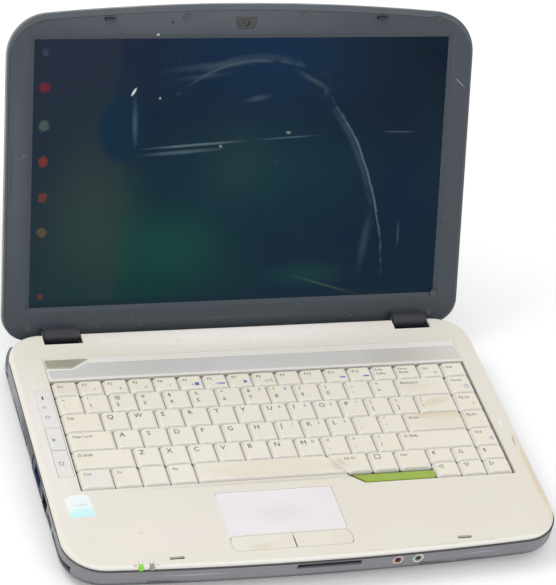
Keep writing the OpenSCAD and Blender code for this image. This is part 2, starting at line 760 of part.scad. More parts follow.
hub_c = [optical_x + optical_l - 62, tray_y + 64];
module drive_tray() color("#34363a") {
    in_base() difference() {
        union() {
            block([optical_x + 3, tray_y + 2.3, optical_z + 1.3],
                [optical_x + optical_l, tray_y + optical_w - 2.3, tray_z + tray_h]);
        }
        // hollow for the disc, and the slot of the laser
        translate([hub_c[0], hub_c[1], tray_z + 4.4]) cylinder(h = 5, r = 60.5);
        block([hub_c[0] - 52, hub_c[1] - 12, tray_z + 1.5], [hub_c[0] - 14, hub_c[1] + 12, tray_z + 6]);
        // room for the eject button's rod
        block([optical_x + optical_l - 8, tray_y + 83, optical_z],
            [optical_x + optical_l + 1, tray_y + 93, tray_z + 8]);
    }
    in_base() translate([hub_c[0], hub_c[1], tray_z + 4.3]) cylinder(h = 2.2, r = 7.4);
    // front of the tray, to the shape of the case's side
    color(grey_shell) difference() {
        intersection() {
            base_outside();
            in_base() block([optical_x + optical_l, tray_y + fit, optical_z],
                [half_w + 1, tray_y + optical_w - fit, optical_z + optical_h]);
        }
        in_base() block([half_w - 20, tray_y + 84, optical_z + 2.5],
            [half_w + 2, tray_y + 92, optical_z + 7]);
    }
}

module eject_button() color("#9a9ca1") in_base() {
    block([half_w - 7.4, tray_y + 84.3, optical_z + 2.8], [half_w + 0.4, tray_y + 91.7, optical_z + 6.7]);
    block([half_w - 9.6, tray_y + 83.6, optical_z + 2.2], [half_w - 8.2, tray_y + 92.4, optical_z + 7.3]);
    block([half_w - 8.3, tray_y + 86, optical_z + 3.6], [half_w - 7.3, tray_y + 90, optical_z + 6]);
}

module battery_pack() color("#4a4d52") difference() {
    intersection() {
        base_outside();
        under_parting();
        battery_bay(-0.4);
    }
    lid_room();
    // clear of the deck and of its back wall
    in_deck() block([-far, -1, -4.6], [far, far, 40]);
    in_deck() block([-far, deck_rear - wall - 0.4, -14], [far, deck_rear, 40]);
    // recess of the latch
    in_base() block([-32, bay_front - 1, foot_h - 1], [-8, bay_front + 9, foot_h + 3]);
}

module battery_latch() color("#2d2f32") in_base() {
    block([-26.8, bay_front + 1.6, foot_h + 0.3], [-15.4, bay_front + 8.2, foot_h + 2.6]);
    for (i = [0:3]) block([-25.4 + i * 2.4, bay_front + 2.4, foot_h - 0.1],
        [-24.4 + i * 2.4, bay_front + 7.4, foot_h + 0.4]);
}

module door(x0, y0, x1, y1) color("#7c8087") in_base() difference() {
    block([x0 + fit, y0 + fit, foot_h], [x1 - fit, y1 - fit, foot_h + 1.2 - slim]);
    // row of cooling slots
    for (i = [0:5]) block([(x0 + x1) / 2 - 16 + i * 6, y0 + 14, foot_h - 1],
        [(x0 + x1) / 2 - 14 + i * 6, y0 + 28, floor_z]);
}

module drive_door()
    door(drive_x - 1, drive_y - 1, drive_x + drive_l + 3, drive_y + drive_w + 3);

module memory_door() door(-64, board_front + 12, 14, board_front + 80);

module bottom_screws() color("#6e7276") in_base() for (p = screws)
    translate([p[0], p[1], foot_h + 0.2]) difference() {
        union() {
            cylinder(h = 1, r = head_r);
            cylinder(h = 6.4, r = screw_r);
        }
        // cross slot
        for (a = [0, 90]) rotate([0, 0, a]) translate([-1.6, -0.3, -1]) cube([3.2, 0.6, 1.5]);
    }

module rubber_feet() color("#303236") in_base() for (p = feet)
    translate([p[0], p[1], 0]) cylinder(h = foot_h, r = foot_r);

ear_r = 4;
module hinge_bracket(side) color("#54575c") in_deck() translate([side * hinge_x, 0, 0]) {
    for (s = [-1, 1]) {
        x0 = s > 0 ? ear_in : -ear_in - ear_t;
        along_x(x0, x0 + ear_t) {
            translate([hinge_y, -hinge_drop]) circle(ear_r);
            translate([bracket_y, -hinge_drop - ear_r])
                square([hinge_y - 1.9 - bracket_y, ear_r]);
            translate([bracket_y, bracket_z])
                square([14, -hinge_drop - ear_r - bracket_z + eps]);
        }
    }
    difference() {
        block([-ear_in - ear_t, bracket_y, bracket_z], [ear_in + ear_t, bracket_y + 14, bracket_z + 1.4]);
        translate([0, bracket_y + 6, bracket_z - 1]) cylinder(h = 4, r = 1.6);
    }
    // pin, riveted into both ears
    along_x(-ear_in - ear_t, ear_in + ear_t) translate([hinge_y, -hinge_drop]) circle(pin_r);
}

module left_hinge_bracket() hinge_bracket(-1);
module right_hinge_bracket() hinge_bracket(1);

module speakers() color("#3a3c40") in_deck() for (s = [-1, 1])
    translate([s * 128, cover_back - 8, 0]) mirror([s > 0 ? 1 : 0, 0, 0]) {
        block([-21, -6, -11], [21, 6, -5]);
        // lug that it hangs from
        block([13, -6, -5.1], [21, 6, -deck_t - slim]);
    }

module side_socket(side, at, depth, hole) difference() {
    in_base() translate([side * (half_w - 0.6), at[0], at[3]])
        block([side > 0 ? -depth : 0, 0, -at[2] / 2], [side > 0 ? 0 : depth, at[1], at[2] / 2]);
    in_base() translate([side * (half_w - 0.6), at[0] + at[1] / 2, at[3]])
        block([side > 0 ? -hole[2] : -1, -hole[0] / 2, -hole[1] / 2],
            [side > 0 ? 1 : hole[2], hole[0] / 2, hole[1] / 2]);
}

usb_hole = [12, 4.6, 10];
module usb_sockets() color(steel) {
    side_socket(-1, left_usb_at, 13, usb_hole);
    for (at = right_usb_at) side_socket(1, at, 13, usb_hole);
}

module display_socket() color("#2f57a5") {
    side_socket(-1, display_at, socket_depth, [17, 8, 5.5]);
}

network_hole = [11.8, 8.2, 11];
module network_socket() color("#2b2d30") side_socket(-1, network_at, socket_depth, network_hole);

power_pin_r = 1;
module power_socket() color("#1d1e20") {
    in_base() difference() {
        translate([half_w - 11, power_at[0] + 0.2, power_at[3] - 4.3]) cube([10.2, 8.6, 8.6]);
        translate([half_w - 9, power_at[0] + 4.5, power_at[3]]) rotate([0, 90, 0])
            cylinder(h = 10, r = 2.75);
    }
    in_base() translate([half_w - 10, power_at[0] + 4.5, power_at[3]]) rotate([0, 90, 0])
        cylinder(h = 7.5, r = power_pin_r);
}

module audio_jacks() color("#c9b9b4") in_deck() for (x = jack_x)
    translate([x, front_y(x) + 0.3, jack_z]) rotate([-90, 0, 0]) difference() {
        union() {
            cylinder(h = 12, r = 4);
            translate([-4, -4.4, 11.9]) cube([8, 8.4, 5]);
        }
        translate([0, 0, -1]) cylinder(h = jack_l + 1, r = jack_r);
    }

module card_reader() color("#3a3c40") in_deck() difference() {
    block([card_x - card_w / 2, 1.2, jack_z + 2.7 - card_t],
        [card_x + card_w / 2, 34, jack_z + 3 + fit]);
    block([card_x - card_w / 2 + 1, -1, jack_z + 3 - card_t],
        [card_x + card_w / 2 - 1, 31, jack_z + 3]);
}

// ---- lid ----

// outline of the lid or of the frame inside it, with its bowed top
module lid_outline(side, top) {
    r_top = lid_top_r - side;
    r_low = lid_low_r - side;
    arc_r = bow_r - top;
    corner_x = half_lid - side - r_top;
    corner_h = bow_h + arc_r - corner_place(arc_r, r_top, corner_x);
    low = -lid_below + side;
    intersection() {
        translate([0, bow_h]) circle(arc_r, $fn = 1440);
        union() {
            translate([-corner_x * arc_r / (arc_r - r_top), low + r_low])
                square([2 * corner_x * arc_r / (arc_r - r_top), far]);
            for (s = [-1, 1]) translate([s * corner_x, corner_h]) circle(r_top);
            translate([-half_lid + side, low + r_low])
                square([2 * (half_lid - side), corner_h - low - r_low]);
            translate([-half_lid + side + r_low, low])
                square([2 * (half_lid - side - r_low), r_low + 1]);
            for (s = [-1, 1])
                translate([s * (half_lid - side - r_low), low + r_low]) circle(r_low);
        }
    }
}

module lid_back_cover() color("#6d7278") in_lid() difference() {
    // outer shell, stepped in twice towards the back to round its edge
    union() {
        deck_cut(back_z + 3, rim_z) lid_outline(0, 0);
        deck_cut(back_z + 1.2, back_z + 3) lid_outline(0.8, 0.8);
        deck_cut(back_z, back_z + 1.2) lid_outline(2.4, 2.4);
    }
    deck_cut(back_z + cover_t, 5) lid_outline(rim_side, rim_top);
    for (s = [-1, 1]) along_x(s * hinge_x - barrel_half - 0.2, s * hinge_x + barrel_half + 0.2)
        circle(barrel_r + 0.15);
}

barrel_half = barrel_w / 2;
tube_r = 4;
panel_w = screen_w + 13;
panel_h = screen_h + 13.6;
panel_mid = screen_low + screen_h / 2;
panel_t = lid_t - screen_sunk - cover_t - 0.3;
camera_h = lid_top - 13.2;

module camera_outline(gap) translate([-1.5, camera_h])
    polygon([[-5.9 - gap, -4 - gap], [5.9 + gap, -4 - gap], [8.2 + gap, 4 + gap], [-8.2 - gap, 4 + gap]]);

pads = [[-144, lid_top - 13], [-44.8, lid_top - 9], [41.4, lid_top - 8.2], [143, lid_top - 11.7],
    [-153, 5], [149, 4.7], [151.9, 18.7]];
pad_r = 2.6;

module lid_bezel() color(slate) in_lid() difference() {
    union() {
        deck_cut(face_z - bezel_t, face_z) lid_outline(rim_side + 0.15, rim_top + 0.15);
        // hinge barrels
        for (s = [-1, 1]) {
            along_x(s * hinge_x - barrel_half, s * hinge_x + barrel_half) circle(barrel_r);
            block([s * hinge_x - barrel_half, -2, face_z - bezel_t],
                [s * hinge_x + barrel_half, 6, -2]);
        }
    }
    for (s = [-1, 1]) {
        along_x(s * hinge_x - far / 2, s * hinge_x + far / 2) circle(tube_r + 0.1);
        block([s * hinge_x - barrel_half + 1.2, -1.3, face_z - 5],
            [s * hinge_x + barrel_half - 1.2, 4.4, -2]);
    }
    // window, with its sloping edge
    mirror([0, 0, 1]) frustum(-screen_w / 2 - 3.4, screen_low - 3.2, screen_w / 2 + 3.4,
        screen_low + screen_h + 3.4, -face_z, -face_z + bezel_t, 3.2, 3, 3.2);
    block([-screen_w / 2 - 0.2, screen_low - 0.2, face_z - 5],
        [screen_w / 2 + 0.2, screen_low + screen_h + 0.2, face_z - bezel_t + 0.2]);
    deck_cut(face_z - 5, 5) camera_outline(0.15);
    for (s = [-1, 1])
        block([s * hook_x - hook_w / 2 - fit, hook_h - 1, face_z - 5],
            [s * hook_x + hook_w / 2 + fit, hook_h + 1, 5]);
}

module lcd_panel() color("#1d3840") in_lid() difference() {
    block([-panel_w / 2, panel_mid - panel_h / 2, glass_z - panel_t],
        [panel_w / 2, panel_mid + panel_h / 2, glass_z]);
    block([-screen_w / 2, screen_low, glass_z - 0.2],
        [screen_w / 2, screen_low + screen_h, 1]);
}

module webcam() color("#17181a") in_lid() {
    difference() {
        deck_cut(face_z - bezel_t - 0.6, face_z - 0.2) camera_outline(0);
        translate([-1.5, camera_h, face_z - 1.2]) cylinder(h = 3, r = 2.4);
    }
    translate([-1.5, camera_h, face_z - 1.6]) cylinder(h = 0.9, r = 1.8);
    block([-31.5, camera_h - 3.6, face_z - bezel_t - 1.6], [28.5, camera_h + 3.6, face_z - bezel_t - 0.6]);
}

module lid_hooks() color("#3a3c40") in_lid() for (s = [-1, 1]) translate([s * hook_x, 0, 0]) {
    block([-hook_w / 2, hook_h - 0.7, face_z - 4], [hook_w / 2, hook_h + 0.7, face_z + 3.4]);
    block([-hook_w / 2 - 2, hook_h - 2.6, face_z - bezel_t - 1.2],
        [hook_w / 2 + 2, hook_h + 2, face_z - bezel_t - 0.1]);
}

module lid_pads() color("#5c6167") in_lid() for (p = pads)
    translate([p[0], p[1], face_z]) cylinder(h = 0.5, r = pad_r);

module inverter_board() color("#2e5e43") in_lid() {
    block([-70, 1, glass_z - 3.4], [70, 9.5, glass_z - 2.2]);
    block([-60, 2.4, glass_z - 2.3], [-30, 8.4, glass_z - 0.2]);
    block([20, 2.4, glass_z - 2.3], [34, 8.4, glass_z - 0.6]);
}

arm_t = 1.2;
arm_z = face_z - bezel_t - 2.4;
arm_x = panel_w / 2 + 1;
arm_w = 5;
module hinge_arm(side) color(steel) in_lid() mirror([side < 0 ? 1 : 0, 0, 0]) {
    difference() {
        union() {
            along_x(hinge_x - barrel_half + 0.2, hinge_x + barrel_half - 0.2) circle(tube_r);
            block([hinge_x - barrel_half + 1.5, -1, -tube_r + 0.1],
                [hinge_x + barrel_half - 1.5, 3.8, -tube_r + 0.1 + arm_t]);
            block([hinge_x - barrel_half + 1.5, 2.6, arm_z],
                [hinge_x + barrel_half - 1.5, 3.8, -tube_r + 0.1 + arm_t]);
        }
        along_x(0, far) circle(pin_r + pin_gap);
    }
    block([hinge_x - barrel_half + 1.5, 2.6, arm_z], [arm_x + arm_w, 10, arm_z + arm_t]);
    difference() {
        block([arm_x, 2.6, arm_z], [arm_x + arm_w, 110, arm_z + arm_t]);
        for (h = [36, 72, 104]) translate([arm_x + arm_w / 2, h, arm_z - 1]) cylinder(h = 4, r = 1.3);
    }
}

module left_hinge_arm() hinge_arm(-1);
module right_hinge_arm() hinge_arm(1);

bottom_case();
top_case();
centre_cover();
silver_strip();
keyboard_plate();
rubber_domes();
name_strip();
palm_sticker();
indicator_panel();
touchpad();
status_lights();
audio_jacks();
card_reader();
motherboard();
heatsink();
fan_housing();
fan_impeller();
hard_drive();
optical_drive();
drive_tray();
eject_button();
battery_pack();
battery_latch();
memory_door();
drive_door();
bottom_screws();
rubber_feet();
left_hinge_bracket();
right_hinge_bracket();
speakers();
wireless_card();
memory_modules();
usb_sockets();
display_socket();
network_socket();
power_socket();
power_button();
mail_button();
web_button();
left_click_button();
right_click_button();
function_keys();
number_keys();
upper_letter_keys();
home_letter_keys();
lower_letter_keys();
modifier_keys();
navigation_keys();
arrow_keys();
space_bar();
enter_key();
lid_back_cover();
lid_bezel();
lcd_panel();
webcam();
lid_hooks();
lid_pads();
inverter_board();
left_hinge_arm();
right_hinge_arm();
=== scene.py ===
# %% [markdown]
# # An open notebook computer, worn and grimy
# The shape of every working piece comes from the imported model, which stays as it is. This
# lesson dresses it: it gives each piece its finish, models the keys, marks and small trim that
# a construction model leaves plain, and sets a camera and soft light.
# Everything is in metres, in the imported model's own frame.

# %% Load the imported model
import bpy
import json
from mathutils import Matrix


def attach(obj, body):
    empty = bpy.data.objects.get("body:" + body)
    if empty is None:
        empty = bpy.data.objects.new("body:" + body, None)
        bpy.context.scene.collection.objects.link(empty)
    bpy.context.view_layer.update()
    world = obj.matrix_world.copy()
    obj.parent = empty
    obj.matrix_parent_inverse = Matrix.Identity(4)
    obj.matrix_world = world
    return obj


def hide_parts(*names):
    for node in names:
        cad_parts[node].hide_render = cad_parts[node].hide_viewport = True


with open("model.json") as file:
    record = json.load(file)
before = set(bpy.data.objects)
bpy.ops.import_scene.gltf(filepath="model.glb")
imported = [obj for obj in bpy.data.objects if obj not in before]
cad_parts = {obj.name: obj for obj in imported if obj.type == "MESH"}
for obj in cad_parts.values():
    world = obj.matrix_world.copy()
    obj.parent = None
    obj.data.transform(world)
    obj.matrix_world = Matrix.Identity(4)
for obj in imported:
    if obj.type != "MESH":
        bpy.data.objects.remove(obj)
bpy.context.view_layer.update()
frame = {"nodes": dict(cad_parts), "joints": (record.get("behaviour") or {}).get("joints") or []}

# %% [markdown]
# ## Two working frames
# The deck slopes by 1.4 degrees and the lid leans back from it by 115 degrees. It is easier to
# think in the deck's own millimetres (x to the right, y from the front edge, z up from the deck)
# and in the lid's (x, height above the hinge, z towards the user), so two matrices turn those
# into the model's metres.

# %% Frames of the deck and the lid
import bpy, bmesh, math, json
from mathutils import Matrix, Vector

MM = 0.001
tilt = math.radians(1.4)
open_angle = math.radians(115)
deck_front = Vector((0, -0.1235, 0.0225))  # the middle of the deck's front edge
hinge = next(Vector(j["pos_m"]) for j in frame["joints"] if j["name"] == "lid_hinge")
deck_matrix = Matrix.Translation(deck_front) @ Matrix.Rotation(tilt, 4, "X") @ Matrix.Scale(MM, 4)
lid_matrix = (Matrix.Translation(hinge) @ Matrix.Rotation(tilt + math.pi - open_angle, 4, "X")
              @ Matrix.Scale(MM, 4))
print("hinge axis at", [round(v, 4) for v in hinge])

# %% [markdown]
# ## Camera
# The machine is seen from above its left front corner, through a long lens, with a slight roll.

# %% Place the camera
camera_data = bpy.data.cameras.new("camera")
camera_data.sensor_width = 36
camera_data.lens = 153.9
camera_data.shift_x, camera_data.shift_y = 0.018, -0.002
camera_data.clip_start, camera_data.clip_end = 0.05, 30
camera = bpy.data.objects.new("camera", camera_data)
camera.location = (-0.5331, -1.1999, 1.1336)
camera.rotation_euler = (math.radians(52.24), math.radians(-9.5), math.radians(-15.51))
bpy.context.scene.collection.objects.link(camera)
bpy.context.scene.camera = camera
bpy.context.scene.view_settings.view_transform = "Standard"
print("camera is", round((camera.location - hinge).length, 2), "m from the hinge")

# %% [markdown]
# ## Floor and light
# A pale floor runs far past the view, so its edge never shows. An even white world gives most
# of the light, and two large soft lamps shape the edges. The camera sees the floor as nearly
# white, and the shadow stays on it.

# %% Lay the floor and hang the lamps
bpy.ops.object.select_all(action="DESELECT")
bpy.ops.mesh.primitive_plane_add(size=30, location=(0, 0, -0.0002))
floor = bpy.context.object
floor.name = "floor"

def soft_lamp(name, place, aim, size, power):
    data = bpy.data.lights.new(name, "AREA")
    data.shape, data.size, data.energy = "DISK", size, power
    lamp = bpy.data.objects.new(name, data)
    lamp.location = place
    lamp.rotation_euler = (Vector(aim) - Vector(place)).to_track_quat("-Z", "Y").to_euler()
    bpy.context.scene.collection.objects.link(lamp)

soft_lamp("window_light", (-0.9, 0.5, 1.5), (0, 0, 0.05), 0.9, 9)
soft_lamp("front_fill", (0.6, -1.5, 1.2), (0, 0, 0.1), 1.2, 3)
world = bpy.data.worlds.new("even_light")
bpy.context.scene.world = world
world.use_nodes = True
sky = world.node_tree.nodes["Background"].inputs
sky["Color"].default_value = (1, 1, 1, 1)
sky["Strength"].default_value = 0.78
print("lights:", [thing.name for thing in bpy.data.lights], "and", world.name)

# %% [markdown]
# ## Helpers for finishes
# A finish is a Principled shader whose colour starts from one value and takes layers: each layer
# is a mask and the colour that shows where the mask is 1. Colours are written as they look on
# a screen, from 0 to 255, and turned into linear light here.

# %% Helpers for nodes
def linear(r, g, b):
    def one(v):
        v /= 255
        return v / 12.92 if v <= 0.04045 else ((v + 0.055) / 1.055) ** 2.4
    return (one(r), one(g), one(b), 1)

def fill(tree, socket, value):
    """Links another node's output to a socket, or sets a plain value on it."""
    if isinstance(value, bpy.types.NodeSocket):
        tree.links.new(value, socket)
    else:
        socket.default_value = value

def node(tree, kind, settings=(), **inputs):
    """Adds a node. Inputs go by name, or by number as in0, in1 and so on."""
    made = tree.nodes.new(kind)
    for key, value in dict(settings).items():
        setattr(made, key, value)
    for key, value in inputs.items():
        fill(tree, made.inputs[int(key[2:]) if key.startswith("in") else key.replace("_", " ")], value)
    return made

def maths(tree, operation, a, b=0.0):
    return node(tree, "ShaderNodeMath", {"operation": operation}, in0=a, in1=b).outputs[0]

def ramp(tree, value, low, high, to_low=0.0, to_high=1.0):
    return node(tree, "ShaderNodeMapRange", {"clamp": True, "interpolation_type": "SMOOTHSTEP"},
                in0=value, in1=low, in2=high, in3=to_low, in4=to_high).outputs[0]

def mix(tree, mask, under, over):
    made = tree.nodes.new("ShaderNodeMix")
    made.data_type = "RGBA"
    for number, value in ((0, mask), (6, under), (7, over)):
        fill(tree, made.inputs[number], value)
    return made.outputs[2]

def new_group(name, inputs, outputs):
    tree = bpy.data.node_groups.new(name, "ShaderNodeTree")
    for label, kind, value in inputs:
        socket = tree.interface.new_socket(label, in_out="INPUT", socket_type=kind)
        socket.default_value = value
    for label, kind in outputs:
        tree.interface.new_socket(label, in_out="OUTPUT", socket_type=kind)
    return tree, tree.nodes.new("NodeGroupInput").outputs, tree.nodes.new("NodeGroupOutput").inputs

def shared(tree, group, output=0, **inputs):
    """Places a node group in a material and gives one of its outputs."""
    made = tree.nodes.new("ShaderNodeGroup")
    made.node_tree = group
    for key, value in inputs.items():
        made.inputs[key.replace("_", " ")].default_value = value
    return made.outputs[output]

def blank(name):
    """A new material with its node tree and its Principled shader."""
    material = bpy.data.materials.new(name)
    material.use_nodes = True
    return material, material.node_tree, material.node_tree.nodes["Principled BSDF"]

print("a mid grey of 128 is", round(linear(128, 128, 128)[0], 3), "in linear light")

# %% [markdown]
# ## Shared effects
# Wear, dirt and painted light and shade follow the same few patterns all over the machine, so each is a node
# group:
# - *patch*: a soft-edged spot or smear at a stated place, with a ragged rim. A second output
#   gives the rim alone, as a ring;
# - *mottle*: large, faint blotches, as yellowed plastic and handled lids have;
# - *speckle*: small sparse specks and chips;
# - *scratch*: fine straight lines in one direction;
# - *facing*: the faces that look one way, such as a rolled lip, or the skirts of the keys, where
#   light or shade is painted;
# - *grain*: the height of a fine moulded texture, for a Bump node.
# The patch comes once for the deck and once for the lid, because each reads its own frame.

# %% Build the patches
def patch_group(name, matrix):
    tree, come, go = new_group(name, [
        ("Centre", "NodeSocketVector", (0, 0, 0)), ("Size", "NodeSocketVector", (10, 10, 10)),
        ("Turn", "NodeSocketFloat", 0), ("Ragged", "NodeSocketFloat", 0.3),
        ("Ragged scale", "NodeSocketFloat", 0.2), ("Soft", "NodeSocketFloat", 0.4)],
        [("Mask", "NodeSocketFloat"), ("Ring", "NodeSocketFloat")])
    back = matrix.inverted()
    spot = node(tree, "ShaderNodeTexCoord").outputs["Object"]
    placed = node(tree, "ShaderNodeMapping", in0=spot, Location=back.to_translation(),
                  Rotation=back.to_euler(), Scale=back.to_scale()).outputs[0]
    away = node(tree, "ShaderNodeVectorMath", {"operation": "SUBTRACT"}, in0=placed,
                in1=come["Centre"]).outputs[0]
    turned = node(tree, "ShaderNodeVectorRotate", {"rotation_type": "Z_AXIS"}, in0=away,
                  Angle=come["Turn"]).outputs[0]
    scaled = node(tree, "ShaderNodeVectorMath", {"operation": "DIVIDE"}, in0=turned,
                  in1=come["Size"]).outputs[0]
    far = node(tree, "ShaderNodeVectorMath", {"operation": "LENGTH"}, in0=scaled).outputs["Value"]
    rough = node(tree, "ShaderNodeTexNoise", in0=placed, Scale=come["Ragged scale"],
                 Detail=5.0).outputs[0]
    rough = maths(tree, "MULTIPLY", maths(tree, "SUBTRACT", rough, 0.5),
                  maths(tree, "MULTIPLY", come["Ragged"], 2.0))
    edge = maths(tree, "ADD", far, rough)
    mask = ramp(tree, edge, maths(tree, "SUBTRACT", 1.0, come["Soft"]), 1.0, 1.0, 0.0)
    tree.links.new(mask, go["Mask"])
    off_rim = maths(tree, "ABSOLUTE", maths(tree, "SUBTRACT", edge, 1.0))
    tree.links.new(ramp(tree, off_rim, 0.0, come["Soft"], 1.0, 0.0), go["Ring"])
    return tree

deck_patch = patch_group("deck_patch", deck_matrix)
lid_patch = patch_group("lid_patch", lid_matrix)
print("nodes in a patch:", len(lid_patch.nodes))

# %% Build the noises, the facing mask and the grain
def noise_group(name, low, high, stretch=(1, 1, 1), turn=(0, 0, 0), detail=4.0):
    tree, come, go = new_group(name, [("Scale", "NodeSocketFloat", 10.0),
        ("Amount", "NodeSocketFloat", 1.0)], [("Mask", "NodeSocketFloat")])
    spot = node(tree, "ShaderNodeTexCoord").outputs["Object"]
    placed = node(tree, "ShaderNodeMapping", in0=spot, Rotation=turn, Scale=stretch).outputs[0]
    value = node(tree, "ShaderNodeTexNoise", in0=placed, Scale=come["Scale"], Detail=detail,
                 Roughness=0.62).outputs[0]
    mask = maths(tree, "MULTIPLY", ramp(tree, value, low, high), come["Amount"])
    tree.links.new(mask, go["Mask"])
    return tree

mottle = noise_group("mottle", 0.38, 0.68)
speckle = noise_group("speckle", 0.69, 0.74, detail=3.0)
scratch = noise_group("scratch", 0.66, 0.72, stretch=(1, 0.03, 0.03), turn=(0.3, 0.2, 0.5))
cross_scratch = noise_group("cross_scratch", 0.66, 0.72, stretch=(0.03, 1, 1), turn=(0.1, 0.1, -0.4))

def facing_group():
    tree, come, go = new_group("facing", [("Way", "NodeSocketVector", (0, 0, 1)),
        ("From", "NodeSocketFloat", 0.4), ("To", "NodeSocketFloat", 0.7)], [("Mask", "NodeSocketFloat")])
    normal = node(tree, "ShaderNodeTexCoord").outputs["Normal"]
    along = node(tree, "ShaderNodeVectorMath", {"operation": "DOT_PRODUCT"}, in0=normal,
                 in1=come["Way"]).outputs["Value"]
    tree.links.new(ramp(tree, along, come["From"], come["To"]), go["Mask"])
    return tree

def grain_group():
    tree, come, go = new_group("grain", [("Scale", "NodeSocketFloat", 1500.0)],
                               [("Height", "NodeSocketFloat")])
    spot = node(tree, "ShaderNodeTexCoord").outputs["Object"]
    bumps = node(tree, "ShaderNodeTexNoise", in0=spot, Scale=come["Scale"], Detail=2.0).outputs[0]
    tree.links.new(bumps, go["Height"])
    return tree

facing = facing_group()
grain = grain_group()
print("groups:", [group.name for group in bpy.data.node_groups])

# %% [markdown]
# ## A recipe for one finish
# `finish_of` makes a material from a base colour, a roughness, a list of layers and the size and
# strength of its grain. Every finish that isn't lit is made by it, so all of them age alike.

# %% The recipe
rough_spread = 0.08

def finish_of(name, colour, rough=0.5, layers=(), grain_size=1500.0, grain_depth=0.0,
              metal=0.0, specular=0.5, coat=0.0):
    material, tree, shader = blank(name)
    shader.inputs["Metallic"].default_value = metal
    shader.inputs["Specular IOR Level"].default_value = specular
    shader.inputs["Coat Weight"].default_value = coat
    tone = linear(*colour)
    for group, settings, over, strength in layers:
        mask = shared(tree, group, **settings)
        if strength != 1:
            mask = maths(tree, "MULTIPLY", mask, strength)
        tone = mix(tree, mask, tone, linear(*over))
    tree.links.new(tone, shader.inputs["Base Color"])
    uneven = shared(tree, mottle, Scale=14.0, Amount=1.0)
    tree.links.new(ramp(tree, uneven, 0, 1, rough - rough_spread, rough + rough_spread),
                   shader.inputs["Roughness"])
    if grain_depth:
        bump = node(tree, "ShaderNodeBump", Strength=grain_depth, Distance=0.0002,
                    Height=shared(tree, grain, Scale=grain_size)).outputs[0]
        tree.links.new(bump, shader.inputs["Normal"])
    return material

def dress(names, material):
    for name in names:
        mesh = frame["nodes"][name].data
        mesh.materials.clear()
        mesh.materials.append(material)
    print(material.name, "on", ", ".join(names))

# %% [markdown]
# ## Cream plastic
# The upper case is warm cream, with a painted highlight along the back, where the lamps light it less,
# and paler along the left side, with brown grime at the right side, where hands and a bag have rubbed it,
# and a grey line of painted shade in front of the keys. Its rolled front edge is lighter, because it faces
# the light.

# %% Dress the upper case
cream = finish_of("cream_plastic", (234, 229, 217), 0.46, [
    (mottle, dict(Scale=7.0, Amount=0.5), (230, 221, 205), 0.7),
    # painted highlight: the back of the deck is painted paler, where the lamps light it less
    (deck_patch, dict(Centre=(0, 222, 0), Size=(190, 18, 30), Soft=0.9, Ragged=0.2), (252, 248, 242), 1.0),
    (deck_patch, dict(Centre=(-162, 120, 0), Size=(14, 120, 20), Soft=0.8, Ragged=0.2), (238, 235, 230), 0.7),
    (deck_patch, dict(Centre=(-90, 30, 0), Size=(80, 26, 20), Soft=0.9, Ragged=0.3), (238, 229, 222), 0.6),
    # painted shade: a grey line in front of the keys
    (deck_patch, dict(Centre=(0, 73, 0), Size=(160, 1.6, 10), Soft=0.9, Ragged=0.3), (204, 197, 190), 0.7),
    (deck_patch, dict(Centre=(169, 60, 0), Size=(5, 64, 20), Soft=0.9, Ragged=0.3), (222, 204, 176), 0.7),
    (deck_patch, dict(Centre=(166.3, 98, 0), Size=(1.0, 9, 20), Turn=0.13, Soft=0.9), (178, 150, 112), 0.85),
    (deck_patch, dict(Centre=(162.6, 116, 0), Size=(0.7, 9, 20), Turn=0.12, Soft=0.8), (252, 252, 250), 0.9),
    (deck_patch, dict(Centre=(-118, 34, 0), Size=(1.1, 1.1, 9), Soft=0.5), (196, 186, 170), 0.6),
    (facing, dict(Way=(0, -1, 0), From=0.35, To=0.85), (252, 250, 243), 0.9),
    (speckle, dict(Scale=160.0, Amount=0.5), (186, 168, 140), 0.45),
    (scratch, dict(Scale=420.0, Amount=0.4), (212, 205, 192), 0.4),
    ], grain_size=2600.0, grain_depth=0.1)
dress(["top_case"], cream)

# %% [markdown]
# ## Grey shells
# The lower case and the tray front are a light slate grey with a fine texture. A pale streak of
# painted highlight runs along the front at each side, the seam under the cream case is dark with
# painted shade, a band of painted shade marks the vents and ports on the left side, and the
# underside is painted in its own shade. The doors are a little darker.

# %% Dress the lower case and its doors
shell_grey = finish_of("grey_shell", (134, 135, 140), 0.5, [
    (mottle, dict(Scale=9.0, Amount=0.6), (122, 123, 129), 0.8),
    # painted shade: a dark band over the vents and ports on the left side
    (deck_patch, dict(Centre=(-172, 122, -8), Size=(16, 56, 7), Soft=0.6, Ragged=0.2), (58, 60, 66), 0.8),
    # painted highlight: a pale streak along the front at each side, where the moulded swoosh catches the
    # light
    (deck_patch, dict(Centre=(-88, 0, -8), Size=(34, 20, 1.2), Soft=0.8, Ragged=0.1), (176, 178, 184), 0.6),
    (deck_patch, dict(Centre=(112, 0, -8), Size=(16, 20, 1.4), Soft=0.8, Ragged=0.1), (164, 164, 172), 0.6),
    # painted shade: the seam under the cream case is painted dark
    (deck_patch, dict(Centre=(0, 120, -3.4), Size=(900, 900, 0.5), Soft=0.4, Ragged=0.0), (52, 50, 54), 0.9),
    (facing, dict(Way=(0, 0, -1), From=0.1, To=0.5), (58, 57, 68), 0.85),
    (speckle, dict(Scale=170.0, Amount=0.7), (170, 172, 176), 0.5),
    (cross_scratch, dict(Scale=300.0, Amount=0.6), (158, 160, 165), 0.5),
    ], grain_size=2200.0, grain_depth=0.2)
dress(["bottom_case", "drive_tray"], shell_grey)
door_grey = finish_of("door_grey", (112, 115, 121), 0.55, [
    (mottle, dict(Scale=12.0, Amount=0.6), (98, 101, 107), 0.8),
    (scratch, dict(Scale=260.0, Amount=0.6), (150, 152, 157), 0.5)],
    grain_size=2000.0, grain_depth=0.25)
dress(["drive_door", "memory_door", "eject_button"], door_grey)

# %% [markdown]
# The lid's outside is a darker, glossier grey with long fine scratches from bags and desks.

